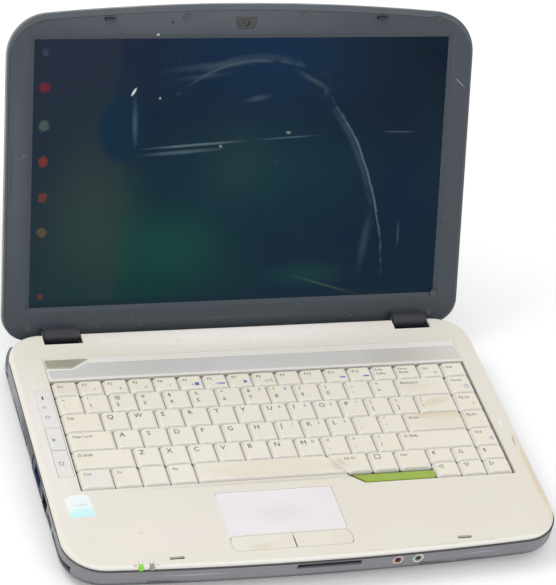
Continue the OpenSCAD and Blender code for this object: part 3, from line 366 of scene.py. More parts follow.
# %% Dress the lid's outside
lid_paint = finish_of("lid_paint", (84, 92, 98), 0.36, [
    (mottle, dict(Scale=6.0, Amount=0.6), (78, 85, 92), 0.7),
    (scratch, dict(Scale=220.0, Amount=0.8), (142, 145, 151), 0.6),
    (cross_scratch, dict(Scale=180.0, Amount=0.7), (136, 139, 146), 0.5),
    (speckle, dict(Scale=120.0, Amount=0.8), (150, 154, 158), 0.4)], coat=0.1, specular=0.4)
dress(["lid_back_cover"], lid_paint)

# %% [markdown]
# The frame round the screen is slate and satin. It is paler along the top and the left, darker
# at the hinge barrels, and it has a white chip, a dark dot of painted shade for a microphone hole
# and a few scratches.

# %% Dress the frame round the screen
slate = finish_of("slate_frame", (68, 75, 83), 0.44, [
    (mottle, dict(Scale=8.0, Amount=0.5), (64, 70, 78), 0.8),
    (lid_patch, dict(Centre=(-40, 226, -5), Size=(170, 20, 12), Soft=0.9, Ragged=0.1), (86, 92, 101), 0.85),
    (lid_patch, dict(Centre=(-164, 110, -5), Size=(10, 110, 12), Soft=0.9, Ragged=0.1), (77, 86, 95), 0.85),
    # painted shade: a dark dot for the microphone hole
    (lid_patch, dict(Centre=(-55, 220.6, -5), Size=(1.2, 1.2, 9), Soft=0.4), (26, 27, 30), 0.9),
    (lid_patch, dict(Centre=(-65, 212, -5), Size=(1.3, 0.9, 9), Soft=0.5), (212, 218, 218), 0.9),
    (lid_patch, dict(Centre=(-166.4, 115, -5), Size=(0.5, 26, 9), Soft=0.6), (52, 54, 60), 0.8),
    (lid_patch, dict(Centre=(162.5, 175.5, -5), Size=(6.5, 0.4, 9), Turn=0.73, Soft=0.6),
     (176, 182, 186), 0.8),
    (lid_patch, dict(Centre=(-20, 7, -5), Size=(120, 2.2, 9), Soft=0.8, Ragged=0.5), (80, 87, 93), 0.5),
    (lid_patch, dict(Centre=(120, 5, -5), Size=(90, 14, 12), Soft=0.9, Ragged=0.2), (62, 67, 74), 0.7),
    *[(lid_patch, dict(Centre=(x, 2, 4), Size=(18, 10, 8), Soft=0.3, Ragged=0.0), (56, 57, 61), 0.9)
      for x in (-130.5, 130.5)],
    (speckle, dict(Scale=210.0, Amount=0.8), (136, 142, 146), 0.5),
    (scratch, dict(Scale=240.0, Amount=0.5), (96, 102, 108), 0.5)],
    grain_size=2400.0, grain_depth=0.15, specular=0.35)
dress(["lid_bezel"], slate)

# %% [markdown]
# ## Keyboard surround
# The long white cover holds a satin silver strip and the olive-grey power button, whose edges
# and lower lip are pale.

# %% Dress the cover, the strip and the power button
cover_white = finish_of("cover_white", (236, 233, 226), 0.4, [
    (mottle, dict(Scale=10.0, Amount=0.5), (226, 222, 213), 0.7)])
dress(["centre_cover"], cover_white)
silver = finish_of("silver_trim", (227, 226, 223), 0.36, [
    (mottle, dict(Scale=16.0, Amount=0.6), (217, 216, 213), 0.7),
    (deck_patch, dict(Centre=(120, 187, 0), Size=(70, 20, 20), Soft=0.9, Ragged=0.2), (219, 214, 206), 0.9),
    (scratch, dict(Scale=500.0, Amount=0.5), (228, 227, 225), 0.5)],
    grain_size=3500.0, grain_depth=0.15, metal=0.25)
dress(["silver_strip"], silver)
power_grey = finish_of("power_key", (168, 163, 146), 0.4, [
    (mottle, dict(Scale=60.0, Amount=0.6), (154, 150, 133), 0.7),
    (deck_patch, dict(Centre=(-137, 192.6, 0), Size=(13.5, 1.5, 9), Turn=0.03, Soft=0.3),
     (230, 226, 216), 1.0),
    (facing, dict(Way=(0, 0, 1), From=0.7, To=0.3), (226, 222, 212), 0.9)])
dress(["power_button"], power_grey)

# %% [markdown]
# The launch keys at the left and the touch film are a colder white than the case. The click
# buttons are creamier, rubbed brown where a thumb rests, with a dark mark at their meeting.

# %% Dress the launch keys, the touch film and the click buttons
panel_white = finish_of("panel_white", (233, 231, 228), 0.42, [
    (mottle, dict(Scale=20.0, Amount=0.5), (222, 219, 214), 0.7),
    (speckle, dict(Scale=300.0, Amount=0.5), (190, 182, 170), 0.5)])
dress(["indicator_panel", "mail_button", "web_button"], panel_white)
touch_white = finish_of("touch_film", (239, 235, 238), 0.4, [
    (deck_patch, dict(Centre=(-20, 44, 0), Size=(30, 14, 10), Soft=0.9, Ragged=0.3), (231, 226, 229), 0.8),
    (mottle, dict(Scale=22.0, Amount=0.4), (228, 223, 224), 0.6)], grain_size=3600.0, grain_depth=0.1)
dress(["touchpad"], touch_white)
click_cream = finish_of("click_cream", (236, 231, 218), 0.4, [
    (mottle, dict(Scale=25.0, Amount=0.6), (226, 219, 202), 0.8),
    (deck_patch, dict(Centre=(-40, 15, 0), Size=(14, 4, 10), Soft=0.9, Ragged=0.3), (222, 212, 190), 0.6),
    (deck_patch, dict(Centre=(-17.6, 16, 0), Size=(0.55, 9, 10), Soft=0.4, Ragged=0.1), (70, 64, 60), 0.9)])
dress(["left_click_button", "right_click_button"], click_cream)

# %% [markdown]
# Two small touches of colour: the lime strip below the keys, and the label on the palm rest,
# whose lower half is pale blue. Both are bare of any name.

# %% Dress the strip and the label
lime = finish_of("green_trim", (158, 183, 76), 0.4, [
    (mottle, dict(Scale=40.0, Amount=0.6), (144, 170, 66), 0.8),
    (speckle, dict(Scale=400.0, Amount=0.8), (200, 206, 160), 0.6)])
dress(["name_strip"], lime)
label_blue = finish_of("label_film", (243, 250, 251), 0.35, [
    (deck_patch, dict(Centre=(-151, 52, 0), Size=(16, 8.5, 10), Turn=-0.07, Soft=0.3, Ragged=0.05),
     (206, 248, 250), 1.0),
    (deck_patch, dict(Centre=(-143.4, 60, 0), Size=(0.7, 10, 9), Turn=-0.07, Soft=0.5),
     (140, 120, 100), 0.9),
    (deck_patch, dict(Centre=(-151.5, 62.5, 0), Size=(7, 0.8, 9), Turn=-0.1, Soft=0.5), (170, 206, 220), 0.6),
    (mottle, dict(Scale=60.0, Amount=0.4), (226, 240, 242), 0.6)])
dress(["palm_sticker"], label_blue)

# %% [markdown]
# ## Small and inner pieces
# What shows through slots and openings still needs its finish. First come the dark plastics,
# the camera's lens and the rubber, which is duller than the rest.

# %% Dress the dark plastics and the rubber
dark = finish_of("dark_plastic", (38, 40, 44), 0.45, [
    (mottle, dict(Scale=30.0, Amount=0.6), (52, 54, 58), 0.6)], grain_size=2600.0, grain_depth=0.15)
dress(["fan_housing", "fan_impeller", "speakers", "network_socket", "power_socket", "battery_latch",
       "lid_hooks"], dark)
lens = finish_of("lens_black", (22, 23, 26), 0.15, [
    (speckle, dict(Scale=900.0, Amount=0.6), (60, 62, 66), 0.6)], specular=0.6)
dress(["webcam"], lens)
pad_slate = finish_of("pad_rubber", (78, 83, 89), 0.7, [
    (mottle, dict(Scale=200.0, Amount=0.6), (66, 70, 76), 0.8)])
dress(["lid_pads"], pad_slate)
battery_grey = finish_of("battery_shell", (82, 85, 91), 0.55, [
    (mottle, dict(Scale=12.0, Amount=0.6), (72, 75, 81), 0.8),
    (scratch, dict(Scale=260.0, Amount=0.6), (118, 121, 127), 0.5)], grain_size=2200.0, grain_depth=0.2)
dress(["battery_pack"], battery_grey)
foot = finish_of("foot_rubber", (48, 49, 52), 0.85, [
    (mottle, dict(Scale=90.0, Amount=0.8), (92, 90, 86), 0.6)], grain_size=900.0, grain_depth=0.3)
dress(["rubber_feet"], foot)

# %% [markdown]
# Stamped steel is bright with fine brush marks, hinge steel is dark with a little rust, and
# the heat pipe is copper, browned by its own warmth.

# %% Dress the metals
steel = finish_of("stamped_steel", (176, 178, 182), 0.38, [
    (mottle, dict(Scale=25.0, Amount=0.7), (150, 151, 154), 0.8),
    (scratch, dict(Scale=500.0, Amount=0.6), (205, 206, 208), 0.6)], metal=0.85)
dress(["usb_sockets", "hard_drive", "optical_drive", "left_hinge_arm", "right_hinge_arm"], steel)
dark_steel = finish_of("dark_steel", (96, 98, 102), 0.42, [
    (mottle, dict(Scale=60.0, Amount=0.7), (76, 77, 80), 0.8),
    (speckle, dict(Scale=500.0, Amount=0.7), (120, 92, 70), 0.6)], metal=0.7)
dress(["left_hinge_bracket", "right_hinge_bracket", "bottom_screws", "card_reader"], dark_steel)
copper = finish_of("copper", (190, 120, 84), 0.35, [
    (mottle, dict(Scale=50.0, Amount=0.8), (150, 92, 66), 0.8)], metal=0.9)
dress(["heatsink"], copper)

# %% [markdown]
# Green boards with tin-coloured specks, a blue socket, pink and pale sound sockets with dark
# bores, and the pale plate and cups that show between the keys.

# %% Dress the boards, the sockets and what lies under the keys
board_green = finish_of("board_green", (46, 94, 66), 0.4, [
    (mottle, dict(Scale=120.0, Amount=0.8), (38, 80, 55), 0.8),
    (speckle, dict(Scale=500.0, Amount=1.0), (190, 176, 120), 0.8)])
dress(["motherboard", "memory_modules", "wireless_card", "inverter_board"], board_green)
display_blue = finish_of("display_blue", (40, 52, 86), 0.45, [
    (mottle, dict(Scale=80.0, Amount=0.6), (32, 38, 62), 0.8)])
dress(["display_socket"], display_blue)
jack_pink = finish_of("jack_ring", (216, 192, 188), 0.35, [
    (deck_patch, dict(Centre=(65.2, 0, -8), Size=(7, 30, 7), Soft=0.2, Ragged=0.0), (214, 216, 212), 1.0),
    (deck_patch, dict(Centre=(50.8, 0, -8), Size=(2.9, 40, 2.9), Soft=0.2, Ragged=0.05), (118, 84, 76), 0.9),
    (deck_patch, dict(Centre=(65.2, 0, -8), Size=(2.9, 40, 2.9), Soft=0.2, Ragged=0.05),
     (120, 120, 116), 0.9),
    (speckle, dict(Scale=900.0, Amount=0.7), (120, 96, 84), 0.6)])
dress(["audio_jacks"], jack_pink)
plate_pale = finish_of("key_plate", (214, 210, 214), 0.5, [
    (mottle, dict(Scale=50.0, Amount=0.7), (186, 178, 170), 0.7)])
cup_pale = finish_of("cup_rubber", (212, 208, 212), 0.6, [
    (mottle, dict(Scale=50.0, Amount=0.8), (180, 172, 160), 0.7)])
dress(["keyboard_plate"], plate_pale)
dress(["rubber_domes"], cup_pale)

# %% [markdown]
# ## Lit screen
# The panel shows a dim picture that runs from navy in the corners to teal and green in the
# middle, under a film with a long arched smudge, two wiped streaks, one bright scratch and dust
# specks, whose sheen and glints are painted light. The picture and that painted sheen are light,
# not paint, so the layers feed the emission, and the surface itself is nearly black.
# A column of small blurred tiles stands at the left. Places are in the lid's millimetres.

# %% List the colour fields, tiles and smears
NAVY, TEAL, SMUDGE_SHEEN = (18, 40, 60), (14, 56, 66), (104, 124, 132)
picture_fields = [  # centre, size, softness, colour, strength
    ((-150, 214), (130, 96), 1.0, (31, 36, 66), 1.0), ((160, 205), (150, 110), 1.0, (11, 26, 45), 1.0),
    ((20, 196), (110, 60), 1.0, (16, 46, 78), 0.9), ((-80, 40), (140, 90), 1.0, (14, 60, 56), 0.9),
    ((140, 20), (140, 80), 1.0, (15, 38, 56), 0.9), ((10, 110), (120, 60), 1.0, TEAL, 0.8),
    ((-108, 84), (52, 84), 1.0, (56, 84, 68), 0.6), ((-124, 18), (56, 46), 1.0, (4, 56, 56), 0.7),
    ((-385, 110), (300, 900), 0.02, (50, 58, 64), 0.35), ((-88, 146), (20, 27), 0.3, (8, 46, 70), 0.9),
    ((-50, 60), (60, 40), 1.0, (20, 84, 72), 0.5), ((0, 118), (44, 42), 1.0, (72, 98, 80), 0.12),
    ((52, 36), (44, 14), 1.0, (24, 76, 72), 0.5), ((0, 18), (260, 7), 0.4, (20, 42, 54), 0.6)]
tiles = [(200, (66, 74, 92), 3.2), (175.5, (132, 34, 44), 4.6), (149, (84, 104, 96), 4.8),
         (123.7, (138, 56, 44), 4.4), (98.2, (120, 66, 44), 4.2), (73.3, (104, 90, 64), 4.2),
         (26.9, (120, 60, 50), 2.4)]
# painted sheen: the smudges, wiped streaks, bright scratch and small spots on the film glow as painted light
smudge_sheens = [  # centre, size, turn, softness, colour, strength
    ((-34, 133.4), (46, 1.3), -0.06, 0.7, SMUDGE_SHEEN, 0.75), ((-44, 128.4), (38, 2.0), -0.06, 0.8, SMUDGE_SHEEN, 0.5),
    ((34, 137.4), (28, 0.7), -0.05, 0.7, SMUDGE_SHEEN, 0.6), ((118, 140), (16, 0.6), 0.02, 0.7, SMUDGE_SHEEN, 0.5),
    ((-20, 190), (54, 4), -0.1, 1.0, SMUDGE_SHEEN, 0.22), ((-30, 182), (30, 3), -0.1, 1.0, SMUDGE_SHEEN, 0.15),
    ((10, 166), (14, 3), -0.2, 1.0, SMUDGE_SHEEN, 0.3), ((52, 178), (20, 3), 0.5, 1.0, SMUDGE_SHEEN, 0.3),
    ((-79, 150), (3, 24), -0.03, 1.0, SMUDGE_SHEEN, 0.4),
    ((-80.4, 171.8), (4.0, 1.1), -1.0, 0.5, (240, 244, 244), 1.0),
    ((-61.5, 167), (0.8, 1.2), 0, 0.5, (190, 210, 214), 0.9),
    ((34, 141), (2.4, 1.6), 0, 0.7, (150, 170, 140), 0.7),
    ((-16, 132), (1.6, 1.6), 0, 0.7, (150, 170, 160), 0.7),
    ((66, 28), (34, 1.3), 0.3, 0.9, (80, 104, 72), 0.5),
    ((122, 64), (1.2, 14), 0, 0.9, SMUDGE_SHEEN, 0.3), ((96, 60), (5, 30), 0.15, 1.0, SMUDGE_SHEEN, 0.2)]
# painted sheen: the long arched smudges glow as painted light
arch_sheens = [  # the ring's centre, size and turn, the stretch of it that shows, width and strength
    ((14, 96), (97, 97), 0.0, (-14, 196), (78, 40), 0.02, 0.3),
    ((12, 92), (94, 104), 0.0, (10, 200), (70, 30), 0.028, 0.15),
    ((4, 20), (107, 176), 0.0, (96, 110), (40, 104), 0.011, 0.75),
    ((1, 20), (107, 176), 0.0, (90, 130), (40, 70), 0.03, 0.2)]
print("screen layers:", len(picture_fields) + len(tiles) + len(smudge_sheens) + len(arch_sheens))

# %% Make the lit picture
def lit_screen():
    material, tree, shader = blank("lit_screen")
    shader.inputs["Specular IOR Level"].default_value = 0.06
    shader.inputs["Emission Strength"].default_value = 0.8
    glow = linear(*NAVY)

    def lay(mask, colour, strength):
        nonlocal glow
        glow = mix(tree, maths(tree, "MULTIPLY", mask, strength), glow, linear(*colour))

    for centre, size, soft, colour, strength in picture_fields:
        lay(shared(tree, lid_patch, Centre=(*centre, -6), Size=(*size, 60), Soft=soft, Ragged=0.04,
                   Ragged_scale=0.02), colour, strength)
    for height, colour, size in tiles:
        lay(shared(tree, lid_patch, Centre=(-143.8, height, -6), Size=(size, size, 60), Soft=0.4,
                   Ragged=0.35, Ragged_scale=0.35), colour, 0.75)
    for centre, size, turn, soft, colour, strength in smudge_sheens:
        lay(shared(tree, lid_patch, Centre=(*centre, -6), Size=(*size, 60), Turn=turn, Soft=soft,
                   Ragged=0.1), colour, strength)
    for centre, size, turn, part, reach, width, strength in arch_sheens:
        ring = shared(tree, lid_patch, output="Ring", Centre=(*centre, -6), Size=(*size, 60), Turn=turn,
                      Soft=width, Ragged=0.016, Ragged_scale=0.06)
        shown = shared(tree, lid_patch, Centre=(*part, -6), Size=(*reach, 60), Soft=0.8, Ragged=0.9,
                       Ragged_scale=0.12)
        lay(maths(tree, "MULTIPLY", ring, shown), SMUDGE_SHEEN, strength)
    lay(shared(tree, mottle, Scale=13.0, Amount=1.0), (44, 62, 70), 0.12)
    # painted glints: the dust specks on the film glow
    lay(shared(tree, speckle, Scale=260.0, Amount=1.0), (84, 98, 104), 0.18)
    tree.links.new(glow, shader.inputs["Emission Color"])
    shader.inputs["Base Color"].default_value = linear(4, 5, 6)
    tree.links.new(ramp(tree, shared(tree, mottle, Scale=20.0, Amount=1.0), 0, 1, 0.26, 0.4),
                   shader.inputs["Roughness"])
    return material

dress(["lcd_panel"], lit_screen())

# %% [markdown]
# ## Status lights
# Two light guides show at the front left corner, each under a cream lip at its back end. The
# left one glows green and the other is off.

# %% Make the status lights
guide_front = (-120.7, 3.4, 0)  # between the two guides, at their front ends
left_guide = (-124.3, 4, 0)

def status_lights():
    material, tree, shader = blank("status_lights")
    front_end = shared(tree, deck_patch, Centre=guide_front, Size=(60, 3.5, 60), Soft=0.15, Ragged=0.0)
    left_one = shared(tree, deck_patch, Centre=left_guide, Size=(3.4, 12, 12), Soft=0.2, Ragged=0.0)
    lit = maths(tree, "MULTIPLY", left_one, front_end)
    shade = shared(tree, mottle, Scale=400.0, Amount=0.5)
    guide = mix(tree, shade, linear(158, 160, 152), linear(120, 122, 116))
    guide = mix(tree, front_end, linear(236, 231, 220), guide)
    tree.links.new(mix(tree, lit, guide, linear(132, 190, 66)), shader.inputs["Base Color"])
    tree.links.new(mix(tree, lit, linear(0, 0, 0), linear(110, 215, 40)), shader.inputs["Emission Color"])
    shader.inputs["Emission Strength"].default_value = 0.3
    shader.inputs["Roughness"].default_value = 0.3
    return material

dress(["status_lights"], status_lights())

# %% [markdown]
# ## Keys
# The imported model's key caps are plain wedges. A real cap has rounded corners, a slightly
# hollow top and a soft front lip that catches the light. One cap is modelled by hand, from a
# cube that is tapered, bevelled and inset, and the others are copies of it. A copy is
# widened by moving the points on its right half only, so its corners keep their shape.

# %% Model one key cap
def pick(thing, kind, test):
    """Selects the faces or edges of a mesh in edit mode that pass a test."""
    work = bmesh.from_edit_mesh(thing.data)
    for group in (work.verts, work.edges, work.faces):
        for item in group:
            item.select = False
    for item in [item for item in getattr(work, kind) if test(item)]:
        item.select = True
    work.select_flush_mode()
    bmesh.update_edit_mesh(thing.data)

def upright(e):
    return abs(e.verts[0].co.z - e.verts[1].co.z) > 1

key_w, key_d = 18.5, 17.5
key_top, skirt_top, key_low = 0.6, -1.5, -3.2  # heights over the deck
taper_w, taper_d, lean_back = 3.2, 1.4, 0.3
front_round, back_round = 2.0, 0.9
bpy.ops.object.select_all(action="DESELECT")
bpy.ops.mesh.primitive_cube_add(size=1, location=(0, 0, (skirt_top + key_low) / 2))
cap = bpy.context.object
cap.name = "key_pattern"
cap.scale = (key_w, key_d, skirt_top - key_low)
bpy.ops.object.transform_apply(location=True, rotation=True, scale=True)
bpy.ops.object.mode_set(mode="EDIT")
bpy.context.tool_settings.mesh_select_mode = (False, False, True)
pick(cap, "faces", lambda f: f.normal.z > 0.9)
bpy.ops.mesh.extrude_region_move(TRANSFORM_OT_translate={"value": (0, lean_back, key_top - skirt_top)})
bpy.ops.transform.resize(value=((key_w - taper_w) / key_w, (key_d - taper_d) / key_d, 1))
bpy.context.tool_settings.mesh_select_mode = (False, True, False)
pick(cap, "edges", lambda e: upright(e) and e.verts[0].co.y < 0)
bpy.ops.mesh.bevel(offset=front_round, segments=4, affect="EDGES")
pick(cap, "edges", lambda e: upright(e) and e.verts[0].co.y > 6)
bpy.ops.mesh.bevel(offset=back_round, segments=3, affect="EDGES")
bpy.context.tool_settings.mesh_select_mode = (False, False, True)
pick(cap, "faces", lambda f: f.normal.z > 0.9)
bpy.ops.mesh.inset(thickness=0.4, depth=0.16)  # a soft rim
bpy.ops.mesh.inset(thickness=0.9, depth=-0.08)  # and the hollow inside it
bpy.ops.object.mode_set(mode="OBJECT")
bpy.ops.object.shade_smooth_by_angle(angle=math.radians(35))
print("one key cap has", len(cap.data.polygons), "faces")

# %% [markdown]
# The rows are laid out as on the real keyboard: a 19 mm pitch, rows 18 mm apart, and each row
# set over by its own amount. Each entry below gives a key's left edge, front edge, width and
# depth in the deck's millimetres, and what is printed on it.

# %% Lay out the rows
pitch, row = 19.0, 18.0
left, front = -148.0, 76.3
right_col, right_w = 136.8, 18.8
edge = right_col + right_w
top_row = front + 5 * row

def run(x, y, labels, w=pitch, d=row):
    return [(x + i * w, y, w, d, label) for i, label in enumerate(labels)]

def row_y(i):
    return front + i * row

start = {4: left + 18, 3: left + 27.5, 2: left + 32.3, 1: left + 41.8}
number_end, upper_end = start[4] + 12 * pitch, start[3] + 12 * pitch
home_end, lower_end = start[2] + 11 * pitch, start[1] + 10 * pitch
arrow_x = left + 246.9
arrow_w = (right_col - arrow_x) / 2
arrow_d = 13.55
arrow_y = front + row - 2 * arrow_d
slant_low, slant_high = left + 186.2, left + 174
small = [left, left + 23.1, left + 42, left + 60.9, left + 80]
menu_x, ctrl_x = left + 203.6, left + 223.2
rows = {
    "function_keys": run(left, top_row, ["Esc"] + ["F%d" % i for i in range(1, 13)]
                         + ["PrtSc", "Pause", "Ins", "Del"], (edge - left) / 17, 14),
    "number_keys": [(left, row_y(4), 18, row, "~\n`")] + run(start[4], row_y(4),
        ["!\n1", "@\n2", "#\n3", "$\n4", "%\n5", "^\n6", "&\n7", "*\n8", "(\n9", ")\n0", "_\n-", "+\n="])
        + [(number_end, row_y(4), right_col - number_end, row, "Backspace")],
    "upper_letter_keys": [(left, row_y(3), 27.5, row, "Tab")]
        + run(start[3], row_y(3), list("QWERTYUIOP") + ["{\n[", "}\n]"])
        + [(upper_end, row_y(3), right_col - upper_end, row, "|\n\\")],
    "home_letter_keys": [(left, row_y(2), 32.3, row, "Caps Lock")]
        + run(start[2], row_y(2), list("ASDFGHJKL") + [":\n;", "\"\n'"]),
    "enter_key": [(home_end, row_y(2), right_col - home_end, row, "Enter")],
    "lower_letter_keys": [(left, row_y(1), 41.8, row, "Shift")]
        + run(start[1], row_y(1), list("ZXCVBNM") + ["<\n,", ">\n.", "?\n/"])
        + [(lower_end, row_y(1), right_col - lower_end, row, "Shift")],
    "modifier_keys": [(here, front, there - here, row, label) for here, there, label
                      in zip(small, small[1:], ["Ctrl", "Fn", "", "Alt"])]
        + [(menu_x, front, 19.6, row, "\u25a1"), (ctrl_x, front, 23.7, row, "Ctrl"),
           (slant_high, front, menu_x - slant_high, row, "Alt Gr")],
    "space_bar": [(small[4], front, slant_low - small[4], row, "")],
    "navigation_keys": [(right_col, row_y(i), right_w, row, label) for i, label in
                        [(1, "End"), (2, "Pg Dn"), (3, "Pg Up"), (4, "Home")]],
    "arrow_keys": [(arrow_x + i * arrow_w, arrow_y + j * arrow_d,
                    right_w if i == 2 else arrow_w, arrow_d, label) for i, j, label in
                   [(0, 0, "\u25c1"), (1, 0, "\u25bd"), (2, 0, "\u25b7"),
                    (0, 1, "\u20ac"), (1, 1, "\u25b3"), (2, 1, "$")]],
}
print("keys:", sum(len(r) for r in rows.values()))

# %% [markdown]
# Each row is one moving body, so its caps are joined into one piece that takes the place of the
# plain wedges. The space bar and the key beside it share a slanted gap.

# %% Helpers to copy, join and settle pieces
def settle(thing, matrix):
    """Moves a piece into the model's frame, with its place in its mesh."""
    thing.matrix_world = matrix @ thing.matrix_world
    bpy.ops.object.select_all(action="DESELECT")
    thing.select_set(True)
    bpy.context.view_layer.objects.active = thing
    bpy.ops.object.transform_apply(location=True, rotation=True, scale=True)

def join(things, name):
    bpy.ops.object.select_all(action="DESELECT")
    for thing in things:
        thing.select_set(True)
    bpy.context.view_layer.objects.active = things[0]
    if len(things) > 1:
        bpy.ops.object.join()
    things[0].name = name
    things[0].data.name = name
    return things[0]

def paint_over(piece, material):
    piece.data.materials.clear()
    piece.data.materials.append(material)

def key_copy(x, y, w, d, slant=0):
    made = cap.copy()
    made.data = cap.data.copy()
    bpy.context.scene.collection.objects.link(made)
    for v in made.data.vertices:
        v.co.x += x + pitch / 2 + (w - pitch if v.co.x > 0 else 0)
        v.co.y += y + row / 2 + (d - row if v.co.y > 0 else 0)
    if slant:
        for v in made.data.vertices:
            if (v.co.x > x + w / 2) == (slant > 0):
                v.co.x += (slant_high - slant_low) * (v.co.y - (y if slant > 0 else y + d)) / row
    return made

print("widest key:", max(key[2] for keys in rows.values() for key in keys), "mm")

# %% [markdown]
# The caps are cream, browner where thumbs and spills have been. Their skirts are painted paler
# and greyer as painted shade, the front lips catch the light, and painted shade darkens the caps
# low down, between the keys.

# %% Finish for the caps
SKIRT_SHADE, LIP = (224, 219, 214), (247, 245, 239)
key_cream = finish_of("key_cream", (240, 235, 220), 0.42, [
    (mottle, dict(Scale=16.0, Amount=0.6), (233, 226, 207), 0.7),
    (deck_patch, dict(Centre=(-139, 174, 0), Size=(26, 9, 10), Soft=0.7, Ragged=0.2), (229, 222, 207), 0.8),
    (deck_patch, dict(Centre=(121, 127, 0), Size=(27, 5.6, 10), Turn=0.04, Soft=0.5, Ragged=0.12),
     (222, 206, 178), 0.85),
    (deck_patch, dict(Centre=(124, 119, 0), Size=(30, 12, 10), Soft=0.5, Ragged=0.1), (232, 224, 206), 0.7),
    (deck_patch, dict(Centre=(122, 141, 0), Size=(17, 5, 10), Turn=-0.25, Soft=0.7, Ragged=0.2),
     (226, 214, 194), 0.8),
    (deck_patch, dict(Centre=(112, 158, 0), Size=(20, 8, 10), Soft=0.8, Ragged=0.2), (232, 224, 208), 0.7),
    (deck_patch, dict(Centre=(-136, 85, 0), Size=(12, 10, 10), Soft=0.5, Ragged=0.1), (233, 230, 229), 0.8),
    (deck_patch, dict(Centre=(-12, 85, 0), Size=(62, 12, 10), Soft=0.6, Ragged=0.2), (232, 222, 204), 0.7),
    (deck_patch, dict(Centre=(33, 84, 0), Size=(8, 8, 10), Soft=0.7, Ragged=0.5), (214, 198, 170), 0.7),
    (deck_patch, dict(Centre=(150, 120, 0), Size=(14, 60, 10), Soft=0.6, Ragged=0.1), (238, 231, 213), 0.7),
    (speckle, dict(Scale=240.0, Amount=0.6), (196, 180, 150), 0.5),
    # painted shade: the sides of the caps are painted greyer
    (facing, dict(Way=(0, 0, 1), From=0.9, To=0.62), SKIRT_SHADE, 0.85),
    (facing, dict(Way=(0, -1, 0.3), From=0.5, To=0.8), LIP, 0.7),
    # painted shade: the caps darken low down, between the keys
    (deck_patch, dict(Centre=(0, 0, -3.2), Size=(900, 900, 1.2), Soft=0.5, Ragged=0.0), (112, 104, 102), 0.8),
    ], grain_size=3200.0, grain_depth=0.1)
print("caps wear", key_cream.name)

# %% Copy the cap for every key and join each row
caps = {}
for body, keys in rows.items():
    made = []
    for x, y, w, d, label in keys:
        slant = 1 if body == "space_bar" else -1 if label == "Alt Gr" else 0
        made.append(key_copy(x, y, w, d, slant))
    piece = join(made, body.replace("key", "cap").replace("bar", "cap"))
    settle(piece, deck_matrix)
    paint_over(piece, key_cream)
    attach(piece, body)
    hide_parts(body)
    caps[body] = piece
bpy.data.objects.remove(cap)
print("rows:", sorted(caps))

# %% [markdown]
# ## Marks on the keys
# Each key carries small printed letters near its left back corner. They are flat text, turned
# into a mesh and laid just above the cap. A second, smaller mark for each key's other job is
# printed in blue: plain signs, not pictures.

# %% Mix the inks and set up the print
ink = finish_of("key_ink", (58, 54, 52), 0.6, [
    (mottle, dict(Scale=90.0, Amount=0.6), (84, 79, 74), 0.8)])
blue_ink = finish_of("key_ink_blue", (84, 118, 196), 0.6, [
    (mottle, dict(Scale=90.0, Amount=0.6), (112, 140, 204), 0.8)])
printed = {}

def text_at(words, x, y, size, high=key_top + 0.13):
    """Flat text with its top left corner at a place on the deck, made a mesh."""
    bpy.ops.object.select_all(action="DESELECT")
    bpy.ops.object.text_add(location=(x, y, high))
    made = bpy.context.object
    made.data.body = words
    made.data.size = size
    made.data.align_y = "TOP"
    made.data.resolution_u = 2
    bpy.ops.object.convert(target="MESH")
    return bpy.context.object

def mark(body, paint, words, x, y, size):
    printed.setdefault((body, paint), []).append(text_at(words, x, y, size))

print("inks:", ink.name, "and", blue_ink.name)

# %% [markdown]
# Words are small and letters are large. Keys with two signs carry one above the other. The
# tables say which labels are words, and which keys have a second job.

# %% Print the keys
small_type, word_type, sign_type, letter_type = 3.0, 3.3, 4.2, 5.8
word_labels = {"Esc", "PrtSc", "Pause", "Ins", "Del", "Backspace", "Tab", "Caps Lock", "Shift", "Ctrl",
               "Fn", "Alt", "Alt Gr", "Enter", "End", "Pg Dn", "Pg Up", "Home"}
under_words = {"Pause": "Break", "PrtSc": "SysRq"}
function_signs = ["?", "z", "o", "/", "o\u25a0", "o\u25ac", "\u25b6", "x\u25c1", "", "", "\u25ac", "\u25ac"]
second_jobs = {"F%d" % i: sign for i, sign in enumerate(function_signs, 1)}
second_jobs.update({"7": "7", "8": "8", "U": "4", "I": "5", "O": "6", "J": "1", "K": "2", "L": "3",
                    "M": "0", "P": "*", "End": "\u25c1", "Home": "\u25a1", "Pg Up": "+", "Pg Dn": "-",
                    "Ins": "o"})

def print_label(body, side, back, label):
    """Prints a key's main label from its left side and its back."""
    parts = label.split("\n")
    if label in under_words:
        mark(body, ink, label, side - 1.2, back - 0.6, small_type)
        mark(body, ink, under_words[label], side - 1.2, back - 4.4, small_type)
    elif label == "Shift":
        mark(body, ink, "\u25b3", side - 0.6, back - 1.0, 3.6)
        mark(body, ink, label, side + 3.6, back - 1.2, 3.7)
    elif label in word_labels:
        over = slant_low - slant_high - 4 if label == "Alt Gr" else 0
        mark(body, blue_ink if label == "Fn" else ink, label, side - 0.2 + over, back - 1.4, word_type)
    elif label.startswith("F") and len(label) > 1:
        mark(body, ink, label, side - 0.6, back - 0.8, 3.6)
    elif len(parts) == 2:
        mark(body, ink, parts[0], side - 0.2, back - 0.4, 4.4)
        mark(body, ink, parts[1], side - 0.2, back - 7.0, 4.9)
    elif body == "arrow_keys":
        mark(body, ink, label, side - 0.4, back - 0.8, 4.6)
    elif label:
        mark(body, ink, label, side, back - 0.6, letter_type)

